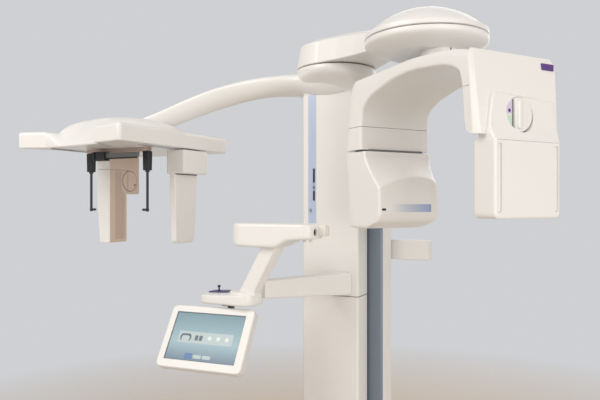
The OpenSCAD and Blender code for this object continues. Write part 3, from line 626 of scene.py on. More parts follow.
class SCANNER_OT_link(PieceOperator, bpy.types.Operator):
    """The shoulder link's cover, the elbow dome and the shallow bowl under it"""
    bl_idname = "scanner.link"
    bl_label = "Link and elbow"

    # Height below the top and depth inwards, from the foot of the cover up
    SECTION = ((103.5, 3), (103, 1.4), (102, 0.5), (100.5, 0.2), (24, 12.5), (22, 13.2), (20.8, 14.6), (20, 17),
               (19.2, 20), (4, 50), (1.6, 54), (0.5, 57), (0, 60))
    # Radius of the cover's round end, and half the angle that its neck leaves open
    ROUND_END = 150
    OPENING = 62
    NECK = ((150, -104), (230, -84), (330, -72), (480, -68), (480, 68), (330, 72), (230, 84), (150, 104))
    # Where the neck's section fades out, inside the dome
    NECK_END = 470
    NECK_FADE = 60
    # Share of its height that the cover loses towards the dome, and where that starts and ends
    FALL = 0.26
    FALL_FROM, FALL_TO = 100, 320
    CROWN_RADIUS = 181
    CROWN_FOOT = 1927.6

    def build(self):
        self.cover()
        self.dome()
        self.bowl()

    def height(self, x, drop):
        """The cover falls towards the dome over a level foot."""
        foot = self.SECTION[0][0]
        t = unit((x - self.FALL_FROM) / (self.FALL_TO - self.FALL_FROM))
        return looks().link_top / MM - foot + (foot - drop) * (1 - self.FALL * t * t)

    def cover(self):
        outline = arc(0, 0, self.ROUND_END, self.OPENING, 360 - self.OPENING, 60)
        outline = spread(outline + [Vector(point) for point in self.NECK], 14)
        inside_dome = [unit((self.NECK_END - point.x) / self.NECK_FADE) for point in outline]
        bm = skinned([[LINK @ Vector((*point, self.height(point.x, drop)))
                       for point in inset(outline, [depth * share for share in inside_dome])]
                      for drop, depth in self.SECTION])
        piece("shoulder_link_cover", bm, "moulded_white", "shoulder_link", "white_plastic", "link_cover")

    def dome(self):
        peak = looks().dome_peak / MM
        profile = [(0, 1909.5), (186, 1909.5), (189.6, 1909.9), (190.8, 1911), (191, 1913), (191, 1921),
                   (190, 1924.2), (187.4, 1926), (183, 1927)]
        angles = [math.radians(a) for a in (*range(0, 12, 3), *range(12, 90, 4))]
        crown = [(self.CROWN_RADIUS * math.cos(angle),
                  self.CROWN_FOOT + (peak - self.CROWN_FOOT) * math.sin(angle) ** 1.8) for angle in angles]
        bm = spun(profile + crown + [(0, peak)], *ELBOW)
        piece("elbow_dome", bm, "moulded_white", "shoulder_link", "white_plastic", "dome_cap", crease=24)

    def bowl(self):
        profile = [(0, 1860), (112, 1860), (116, 1860.5), (121, 1862.2)]
        profile += through([(121, 1862.2), (134, 1866.8), (152, 1872.8), (170, 1879), (183, 1885.4)], 3)[1:]
        profile += [(187, 1888.4), (189.6, 1891.4), (190.6, 1894), (191, 1903), (190.4, 1905.4), (188, 1906),
                    (0, 1906)]
        bm = spun(profile, *ELBOW)
        slab(bm, circle(60, 0, 57.5, 72), 1821.2, 1863, (2, 2), (1, 1), C_ARM)
        piece("elbow_bowl_shell", bm, "moulded_white", "elbow", "white_plastic", "elbow_bowl")


# C-arm

def arm_rings(rows, half, edge=(9, 9), outer_edge=(34, 9), steps=5):
    """Rounded rectangles across the C-arm, one for each row of an outer and an inner point."""
    rings = []
    for ax, az, ix, iz in rows:
        outer, inner = Vector((ax, az)), Vector((ix, iz))
        length = (outer - inner).length
        out = (outer - inner) / length
        ring = []
        for at_outer, side, rising in ((True, -1, True), (True, 1, False), (False, 1, True), (False, -1, False)):
            along_edge, across_edge = outer_edge if at_outer else edge
            along_edge = min(along_edge, length * 0.45)
            for k in range(steps + 1):
                angle = math.pi / 2 * (k if rising else steps - k) / steps
                along = along_edge * (1 - math.sin(angle))
                point = inner + out * (length - along if at_outer else along)
                ring.append(C_ARM @ Vector((point.x, side * (half - across_edge * (1 - math.cos(angle))), point.y)))
        rings.append(ring)
    return rings


def at_height(line, height):
    """The value of a line of (value, height) rows, in falling height."""
    if height >= line[0][1]:
        return line[0][0]
    for (a, high), (b, low) in zip(line, line[1:]):
        if height >= low:
            return b + (a - b) * (height - low) / (high - low)
    return line[-1][0]


def carve(target, bm):
    """Cuts the shape of a closed mesh out of a piece."""
    bmesh.ops.recalc_face_normals(bm, faces=bm.faces)
    bmesh.ops.scale(bm, vec=(MM, MM, MM), verts=bm.verts)
    mesh = mesh_of("cutter", bm)
    cutter = add_object("cutter", mesh)
    cut = target.modifiers.new("cut", "BOOLEAN")
    cut.operation = "DIFFERENCE"
    cut.solver = "EXACT"
    cut.object = cutter
    bpy.context.view_layer.update()
    shape = bpy.data.meshes.new_from_object(target.evaluated_get(bpy.context.evaluated_depsgraph_get()))
    target.modifiers.remove(cut)
    if not shape.polygons:
        raise RuntimeError("Nothing is left of " + target.name)
    target.data = shape
    shade(shape)
    bpy.data.objects.remove(cutter)
    bpy.data.meshes.remove(mesh)


UPRIGHT_C = C_ARM @ UPRIGHT
FACE_C = C_ARM @ SIDE
# Half the width of the C-arm and of the tube head
ARM_HALF = 140.5
# Middles of the two lock knobs, of the chin table's socket and of the joystick, each in its own plane
KNOB = (0, 1628)
CEPH_KNOB = (-184, 1497)
SOCKET = (-520, 1307)
JOYSTICK = (-296, -470)


class SCANNER_OT_c_arm(PieceOperator, bpy.types.Operator):
    """The covers of the C-arm: the tube leg and the arch with the sensor leg"""
    bl_idname = "scanner.c_arm"
    bl_label = "C-arm"

    # Outer and inner points of the arm in its own plane
    TUBE_LEG = ((-255, 1575, -157, 1575), (-249.5, 1615, -157, 1615), (-244.6, 1649.2, -156.6, 1649.2))
    ARCH = (
        (-244.3, 1650.8, -156.6, 1650.8), (-241, 1670, -156, 1668), (-232, 1722, -151, 1697),
        (-224, 1765, -140, 1714), (-214, 1788, -124, 1727), (-196, 1803, -100, 1739.5), (-150, 1806, -72, 1749),
        (-80, 1809, -30, 1761),
        (0, 1813, 20, 1772.6), (99, 1816.5, 95, 1779), (180, 1813, 170, 1775), (254, 1807, 232, 1768.5),
        (300, 1799, 272, 1757.5), (330, 1789, 298, 1741), (340, 1768, 306, 1720), (344, 1738, 309, 1708),
        (346.4, 1699.6, 309.8, 1698.6),
    )
    SENSOR_LEG = (
        (346.5, 1698.2, 310, 1697.2), (347.5, 1680, 311, 1678), (350.5, 1620, 316, 1618), (351.5, 1600, 319, 1600),
        (352, 1590, 321, 1591), (352, 1582, 325, 1583), (352, 1577.5, 331, 1578), (352, 1575, 341, 1575),
    )

    def build(self):
        bm = skinned(arm_rings(through(self.TUBE_LEG, 3), ARM_HALF))
        piece("tube_leg_cover", bm, "moulded_white", "c_arm", "white_plastic", "carm_inner_cover")
        bm = skinned(arm_rings(through(self.ARCH, 4), ARM_HALF))
        skin(bm, arm_rings(through(self.SENSOR_LEG, 3), ARM_HALF))
        piece("arch_cover", bm, "moulded_white", "c_arm", "white_plastic", "carm_outer_cover")
        bm = solid(fillet([(24, -36, 3), (58, -36, 3), (58, -18, 3), (24, -18, 3)]), 1778.5, 1781.5, place=C_ARM)
        piece("arch_slot", bm, "grained_grey", "c_arm", "grey_plastic")


class SCANNER_OT_tube_head(PieceOperator, bpy.types.Operator):
    """The tube head that hangs from the tube leg, with its faded label and small window"""
    bl_idname = "scanner.tube_head"
    bl_label = "Tube head"

    TOP, SLOPE_TOP, STRAIGHT_TOP = 1568, 1553, 1400
    # Right side of the neck and height where the lower edge starts to round off
    NECK_RIGHT = -134
    ROUND_FROM = 1327
    LOWER_RIGHT = ((-52.6, 1440), (-51, 1370), (-53, 1361), (-57.5, 1350), (-64, 1342), (-72, 1337), (-99, 1328.5),
                   (-112, 1324), (-122, 1320), (-128, 1317.6))

    @staticmethod
    def crease(y):
        return 1446 + 38 * (1 - min(1, abs(y) / 140) ** 2)

    @staticmethod
    def level(left, right, trim, wide=98, deep=85):
        """The head's outline at one height, with a long soft corner at the far right."""
        left, right, near, far = left + trim, right - trim, trim - ARM_HALF, ARM_HALF - trim
        corners = ((left + 40, near + 9, 40, 9, 180), (right - 8, near + 8, 8, 8, 270),
                   (right - wide, far - deep, wide, deep, 0), (left + 20, far - 20, 20, 20, 90))
        outline = []
        for x, y, across, along, start in corners:
            outline += [(x + across * math.cos(math.radians(start + 9 * k)),
                         y + along * math.sin(math.radians(start + 9 * k))) for k in range(11)]
            if start == 270:
                outline += [(right, near + 14 + (far - deep - near - 18) * k / 18) for k in range(19)]
        return outline

    def build(self):
        def left(height):
            return -253 + 20 * (self.TOP - height) / 246

        rings = []
        for height, trim in ((self.TOP, 3), (1567.8, 1.6), (1567, 0.5), (1565.6, 0), (1556, 0)):
            corner = self.level(left(height), self.NECK_RIGHT, trim, 30, 30)
            rings.append([Vector((x, y, height)) for x, y in corner])
        for t in (0.0, 0.06, 0.13, 0.2, 0.3, 0.4, 0.5, 0.6, 0.7, 0.8, 0.88, 0.94, 0.98):
            right = self.NECK_RIGHT + 81 * t ** 1.27
            rings.append([Vector((x, y, self.SLOPE_TOP - t * (self.SLOPE_TOP - self.crease(y)))) for x, y in
                          self.level(left(self.SLOPE_TOP - t * 85), right, 0, 30 + 68 * t, 30 + 55 * t)])
        for t in (0.04, 0.1, 0.3, 0.6, 1):
            rings.append([Vector((x, y, self.crease(y) + t * (self.STRAIGHT_TOP - self.crease(y))))
                          for x, y in self.level(left(1460 - 60 * t), -52.8 + 1.2 * t, 0)])
        for height in (1385, 1370, 1361, 1355, 1350, 1346, 1342, 1339.5, 1337, 1334, 1331.5, 1328.5, 1326, 1324,
                       1322, 1320, 1318.6, 1317.6):
            trim = 9 * round_off((self.ROUND_FROM - height) / 9.4)
            right = at_height(self.LOWER_RIGHT, height) + trim * 0.6
            rings.append([Vector((x, y, height)) for x, y in self.level(left(height), right, trim)])
        bm = skinned([[C_ARM @ point for point in ring] for ring in rings])
        piece("tube_head_shell", bm, "moulded_white", "c_arm", "white_plastic", "tube_housing", crease=30)
        bm = solid(rounded_box(-236, -150, -112, 112, 10), 1560, 1576.5, (1, 1), (1, 1), C_ARM)
        piece("tube_neck", bm, "grained_grey", "c_arm", "grey_plastic")
        bm = solid(rounded_box(-100, 64, 1371, 1396, 1.5), -56, -50.4, (0.3, 0.3), (0.4, 0.4), FACE_C)
        start, end = C_ARM @ Vector((-50, -100, 0)), C_ARM @ Vector((-50, 64, 0))
        fading("faded_label", ((0, tuple(looks().white)), (0.4, (0.56, 0.60, 0.68)), (1, (0.29, 0.36, 0.60))),
               start * MM, end * MM, 0.35)
        piece("tube_label", bm, "faded_label", "c_arm", "blue_plastic")
        bm = solid(rounded_box(-131, -115, 1376, 1383.5, 3.6), -57, -50.6, (0.3, 0.3), (0.8, 0.5), FACE_C)
        piece("tube_window", bm, "grained_black", "c_arm", "dark_plastic")


class SCANNER_OT_sensor_arm(PieceOperator, bpy.types.Operator):
    """The sensor arm's cover, the sensor housing with its raised tongue, the plate and the lock knob"""
    bl_idname = "scanner.sensor_arm"
    bl_label = "Sensor arm"

    # Foot and top of the cover, and the face and foot of the tongue from its top down
    FOOT, TOP = 1573, 1793
    TONGUE = ((365, 1686), (368.5, 1676), (371.5, 1655), (374, 1628), (379, 1600), (387, 1582), (394, 1571),
              (399.5, 1562), (402.6, 1557), (403.3, 1553), (402.6, 1548))
    # Radius of the pocket round the lock knob, and the housing's face
    POCKET = 47.5
    FACE = 403

    def build(self):
        self.cover()
        self.housing()
        self.tongue()
        self.plate()
        self.knob()

    def cover(self):
        rings = []
        rounding = [1720 + 72.6 * math.sin(math.radians(a)) for a in range(8, 88, 8)]
        heights = [self.FOOT, 1574.2, *range(1585, 1720, 15), *rounding, 1792.6, self.TOP]
        for height in heights:
            back = at_height(((341, 1768), (344, 1730), (352, 1575)), height) + 0.3
            front = 371 - 27 * (height - self.FOOT) / 217
            far = 150 + 15 * (height - self.FOOT) / 190 - 26 * round_off((height - 1750) / 43.2)
            near = -147 + 12 * round_off((height - 1777) / 16.2)
            trim = 1.2 if height in (self.FOOT, self.TOP) else 0
            bend = min(20, (front - back) * 0.6)
            ring = fillet([(back, near + trim, 2), (front - bend - trim, near + trim, 12),
                           (front - trim, near + 15 + trim, 12), (front - trim, far - trim, 8),
                           (back, far - trim, 2)], 6)
            rings.append([C_ARM @ Vector((*point, height)) for point in ring])
        bm = skinned(rings)
        made = piece("sensor_arm_shell", bm, "moulded_white", "c_arm", "white_plastic", "sensor_arm_cover")
        carve(made, solid(circle(*KNOB, self.POCKET, 72), 361.2, 412, place=FACE_C))

    def housing(self):
        outline = spread(fillet([(-117, 1360, 18), (117, 1360, 18), (117, 1564, 7), (-117, 1564, 7)], 8), 30)
        bm = solid(outline, 329, self.FACE, (7, 7), (7, 6), FACE_C, steps=6)
        made = piece("sensor_housing_shell", bm, "moulded_white", "c_arm", "white_plastic", "sensor_housing")
        bm = bmesh.new()
        deep = looks().groove / MM
        for side in (-1, 1):
            outline = rounded_box(side * 101 - 8, side * 101 + 8, 1376, 1552, 7.9, 8)
            slab(bm, outline, self.FACE - deep, self.FACE + 3, (4.5, 3.5), (0.1, 0.1), FACE_C)
        carve(made, bm)

    def tongue(self):
        def outline(y):
            top = 1570 + (y + 116) / 30 * 116 if y < -86 else 1686 - 14 * (y + 86) / 218
            foot = 1548 + 2.6 * max(0, y - 113)
            points = [Vector((346, foot)), Vector((at_height(self.TONGUE, foot), foot))]
            for k in range(1, 25):
                height = foot + (top - 4 - foot) * k / 24
                points.append(Vector((at_height(self.TONGUE, height), height)))
            face = at_height(self.TONGUE, top)
            return points + [Vector((face - 1.2, top - 1.6)), Vector((face - 3.5, top - 0.4)), Vector((346, top))]

        rings = []
        sides = [(-115, 6), (-114, 3), (-112, 1), (-109, 0)] + [(y, 0) for y in range(-104, 126, 7)]
        for y, depth in sides + [(132, 0.4), (137, 2), (140, 6)]:
            shape = outline(y)
            rings.append([UPRIGHT_C @ Vector((min(max(346, point.x - depth), 487.4 - 0.727 * y), point.y, y))
                          for point in shape])
        bm = skinned(rings)
        made = piece("sensor_tongue", bm, "moulded_white", "c_arm", "white_plastic")
        carve(made, solid(circle(*KNOB, self.POCKET, 72), 365, 412, place=FACE_C))

    def plate(self):
        bm = solid(rounded_box(110, 156, 1760, 1778, 1.5), 338, 349.6, (0.3, 0.3), (0.5, 0.5), FACE_C)
        piece("purple_name_plate", bm, "purple_plate", "c_arm", "purple_plastic")

    def knob(self):
        bm = solid(circle(*KNOB, 46, 72), 361.5, 367.4, (1, 1), (1.2, 1.2), FACE_C)
        slab(bm, arc(*KNOB, 45, -113, 113), 366, 376, (1, 1), (4, 5), FACE_C)
        slab(bm, fillet([(-12, 1592, 9), (8, 1588, 9), (12, 1628, 40), (8, 1668, 9), (-12, 1664, 9)], 8), 374, 381,
             (1, 1), (7, 5), FACE_C)
        piece("sensor_knob_body", bm, "moulded_white", "sensor_knob", "white_plastic", "sensor_lock_knob")
        bm = solid(rounded_box(-20.5, -18.3, 1588, 1668, 1), 366, 368.6, (0.2, 0.2), (0.3, 0.3), FACE_C)
        piece("sensor_knob_line", bm, "grained_grey", "sensor_knob", "grey_plastic")
        for name, start, end, coat, slot in (("upper", 120, 178, "lilac_field", "purple_plastic"),
                                             ("lower", 182, 240, "green_field", "grey_plastic")):
            bm = solid(arc(*KNOB, 43, start, end) + [Vector((-21.5, 1628 + (2 if start < 180 else -2)))],
                       366, 368.2, (0.2, 0.2), (0.5, 0.4), FACE_C)
            piece("sensor_knob_field_" + name, bm, coat, "sensor_knob", slot)
        bm = solid(circle(-31, 1638, 4.6, 24), 367, 369, (0.2, 0.2), (0.6, 0.4), FACE_C)
        piece("sensor_knob_dot", bm, "purple_plate", "sensor_knob", "purple_plastic")


# Ceph head

class SCANNER_OT_ceph_head(PieceOperator, bpy.types.Operator):
    """The ceph head: a board that thins out at the front, under one domed cover"""
    bl_idname = "scanner.ceph_head"
    bl_label = "Ceph head"

    MIDDLE = Vector((-826, -372))
    OUTLINE = (
        (-1130, -619, 6), (-1121, -633, 6), (-1007, -598, 30), (-900, -604, 60), (-704, -633, 4), (-695, -666, 5),
        (-540, -704, 16), (-528, -66, 16), (-700, -57, 80), (-1046, -63, 26), (-1072, -100, 40), (-1072, -337, 40),
        (-1040, -412, 24), (-1028, -442, 12),
    )
    # Heights of the under side, of the edge and of the thin front edge
    UNDER, EDGE, THIN = 1613, 1668, 1625
    # Half width, half depth and rise of the dome, and how softly it meets the board
    DOME = (262, 232, 80)
    BLEND = 5

    def edge_height(self, point):
        """The board is thick at both ends of its front edge and thin between them."""
        if point.x > -700:
            return self.EDGE + 7
        if point.y > -560:
            return self.EDGE
        high = self.EDGE + 8 * min(1, (-560 - point.y) / 40)
        return high + (self.THIN - high) * eased((point.x + 1030) / 110)

    def height(self, edge, point, fraction):
        """The higher of the board and the dome at a point, with a soft change between them."""
        flat = edge + (self.EDGE - edge) * eased((1 - fraction) / 0.24)
        half_x, half_y, rise = self.DOME
        away = ((point.x - self.MIDDLE.x) / half_x) ** 2 + ((point.y - self.MIDDLE.y) / half_y) ** 2
        dome = self.EDGE - 6 + rise * math.sqrt(max(0, 1 - away))
        if edge < self.EDGE:
            dome = edge + (dome - edge) * unit((1 - fraction) / 0.5) ** 0.55
        levels = [math.exp((level - self.EDGE) / self.BLEND) for level in (flat, dome)]
        return self.EDGE + self.BLEND * math.log(sum(levels))

    def build(self):
        outline = spread(fillet(self.OUTLINE, 5), 11)
        edges = [self.edge_height(point) for point in outline]
        rings = []

        def ring(depth, heights):
            rings.append([Vector((*point, height)) for point, height in zip(inset(outline, depth), heights)])

        rings.append([Vector((*(self.MIDDLE + (point - self.MIDDLE) * 0.03), self.UNDER)) for point in outline])
        for depth, rise in ((7, 0), (5, 0), (1.5, 1.2), (0, 4.5)):
            ring(depth, [self.UNDER + rise] * len(outline))
        for depth, least, drop in ((0, 5, 12), (1.2, 6, 6.5), (4, 8, 2.4)):
            ring(depth, [max(self.UNDER + least, edge - drop) for edge in edges])
        rim = inset(outline, 8)
        for fraction in (1, 0.975, 0.95, 0.92, 0.89, 0.86, 0.83, 0.8, 0.77, 0.74, 0.7, 0.66, 0.62, 0.57, 0.52, 0.46,
                         0.4, 0.34, 0.28, 0.22, 0.16, 0.1, 0.05, 0.02):
            here = [self.MIDDLE + (point - self.MIDDLE) * fraction for point in rim]
            rings.append([Vector((*point, self.height(edge, point, fraction))) for point, edge in zip(here, edges)])
        bm = skinned(rings)
        piece("ceph_head_cover", bm, "moulded_white", "moving_column", "white_plastic", "ceph_board", "ceph_dome",
              crease=40)


class SCANNER_OT_ceph_sensor(PieceOperator, bpy.types.Operator):
    """The sensor adapter with its lock knob, the cassette, and the secondary collimator's block and plate"""
    bl_idname = "scanner.ceph_sensor"
    bl_label = "Ceph sensor"

    def build(self):
        pocket = circle(*CEPH_KNOB, 46.6, 64)
        outline = fillet([(-306, 1545, 6), (-202, 1545, 0), (-202, 1439, 6), (-122, 1439, 12), (-122, 1608, 6),
                          (-306, 1608, 6)])
        bm = solid(outline, -1042, -965, (4, 4), (4, 4), SIDE)
        adapter = piece("sensor_adapter_shell", bm, "moulded_white", "ceph_sensor", "white_plastic", "sensor_adapter")
        outline = fillet([(-1042, 1544.6, 6), (-1041, 1440, 60), (-1024, 1229, 14), (-965, 1229, 12),
                          (-965, 1544.6, 6)])
        bm = solid(outline, -306, -202.5, (4, 4), (4, 4), UPRIGHT)
        cassette = piece("cassette_body", bm, "moulded_white", "ceph_sensor", "white_plastic", "ceph_cassette")
        for made in (adapter, cassette):
            carve(made, solid(pocket, -971, -960, place=SIDE))
            # Faces turned towards +x get painted shade with a painted orange reflection, in peach.
            paint_shaded_side(made, "peach_painted_shade", (1, 0, 0))
        outline = fillet([(-275, 1244, 5), (-217, 1244, 5), (-217, 1444, 4), (-233, 1454, 4), (-233, 1536, 5),
                          (-275, 1536, 5)])
        # The panel's tan is painted shade with a painted orange reflection.
        bm = solid(outline, -968, -964.5, (0.5, 0.5), (0.8, 0.5), SIDE)
        piece("cassette_panel", bm, "tan_painted_reflection", "ceph_sensor", "grey_plastic")
        self.knob()
        self.collimator()

    def knob(self):
        bm = solid(circle(*CEPH_KNOB, 46.2, 72), -970.9, -964.6, (1, 1), (0.5, 0.5), SIDE)
        piece("ceph_knob_ring", bm, "grained_grey", "ceph_knob", "grey_plastic")
        bm = solid(circle(*CEPH_KNOB, 43.5, 72), -970.7, -963.6, (1, 1), (1.5, 1.5), SIDE)
        slab(bm, arc(*CEPH_KNOB, 41, -113, 113), -966, -961, (1, 1), (3, 2), SIDE)
        # The knob body's peach is painted shade with a painted orange reflection.
        piece("ceph_knob_body", bm, "peach_painted_shade", "ceph_knob", "white_plastic", "ceph_lock_knob")
        bm = solid(circle(-157, 1481, 5, 20), -962, -960.6, (0.5, 0.3), (0.4, 0.3), SIDE)
        piece("ceph_knob_mark", bm, "purple_plate", "ceph_knob", "purple_plastic")

    def collimator(self):
        bm = solid(rounded_box(-622, -535, -357, -198, 9), 1516, 1608, (5, 5), (2, 2))
        piece("collimator_block", bm, "moulded_white", "ceph_collimator", "white_plastic", "collimator_carriage")
        outline = fillet([(-351, 1518, 1), (-343, 1252, 24), (-333, 1240, 10), (-232, 1240, 10), (-222, 1252, 24),
                          (-204, 1518, 1)])
        bm = solid(spread(outline, 40), -611, -584, (5, 5), (5, 5), SIDE)
        piece("collimator_blade", bm, "moulded_white", "ceph_collimator", "white_plastic", "collimator_plate")


class SCANNER_OT_head_rest(PieceOperator, bpy.types.Operator):
    """The carrier of the ear posts with its black holders, rods and plugs, and the nasal block and bar"""
    bl_idname = "scanner.head_rest"
    bl_label = "Ear posts and nasal rest"

    MIDDLE = Vector((-794, -436))
    POST_REACH = 145.5
    PLUG_HEIGHT = 1374

    def build(self):
        x, y = self.MIDDLE
        bm = solid(rounded_box(x - 151.5, x + 151.5, y - 22, y + 22, 10), 1599.7, 1612.7, (2.5, 2.5), (1, 1))
        slab(bm, circle(x, y, 22, 48), 1611, 1637, (1, 1), (1, 1))
        # The carrier plate's tan is a painted orange reflection.
        piece("ear_carrier_plate", bm, "tan_painted_reflection", "ear_carrier", slot_of("ear_carrier"), "ear_carrier")
        for name, side in (("left", -1), ("right", 1)):
            post = x + side * self.POST_REACH

            def section(height):
                half = 14.5 if height > 1545 else 13.5
                return rounded_box(post - half, post + half, y - half + 1.5, y + half - 1.5, 4)

            bm = solid(section, 1525.5, 1599.2, (2, 2), (1.5, 1.5))
            slab(bm, circle(post, y, 8.5, 32), 1519, 1527, (1.5, 1.5), (0.5, 0.5))
            piece("ear_holder_body_" + name, bm, "grained_black", "ear_post_" + name, "dark_plastic",
                  "ear_holder_" + name)
            rod = [(0, 1366.5), (3.6, 1366.8), (4.6, 1368.4), (4.9, 1370), (4.9, 1522), (0, 1522)]
            bm = spun(rod, post, y, steps=32)
            plug = [(0, -3), (6.4, -3), (7, -2), (6.6, 4), (4.4, 10), (4.2, 14), (5, 18), (4.6, 22), (2.6, 25),
                    (0, 26)]
            aim = Matrix.Translation((post, y, self.PLUG_HEIGHT)) @ Matrix.Rotation(-side * math.pi / 2, 4, "Y")
            turning(bm, plug, 0, 0, aim, 32)
            piece("ear_rod_bar_" + name, bm, "grained_black", "ear_post_" + name, "dark_plastic", "ear_rod_" + name)
        self.nasal(x - 52, y - 42)

    def nasal(self, x, y):
        bm = bmesh.new()
        top = 1599.4
        slab(bm, rounded_box(x - 31, x - 9, y - 17, y + 17, 3), top - 34, top, (2, 2), (1, 1))
        for near in (y - 17, y + 6.4):
            slab(bm, rounded_box(x - 20, x + 31, near, near + 10.6, 3), top - 34, top, (2, 2), (1, 1))
        slab(bm, rounded_box(x - 8, x + 8, y + 8, y + 28, 1.5), top - 8, top, (1, 1), (1, 1))
        piece("nasal_block_body", bm, "grained_black", "ear_carrier", "dark_plastic", "nasal_block")
        outline = fillet([(x - 2, top - 24, 7.9), (x + 191, top - 23, 4), (x + 191, top - 5, 4), (x + 14, top - 3, 2),
                          (x - 2, top - 3, 7.9)])
        bm = solid(outline, y - 5.3, y + 5.3, (1.5, 1.2), (1.5, 1.2), UPRIGHT)
        piece("nasal_bar_body", bm, "grained_grey", "nasal_bar", "grey_plastic", "nasal_bar")
        bm = solid(circle(y, top - 26, 2.8, 20), x + 33, x + 186, place=SIDE)
        piece("nasal_rod", bm, "grained_black", "nasal_bar", "dark_plastic")


# Patient support

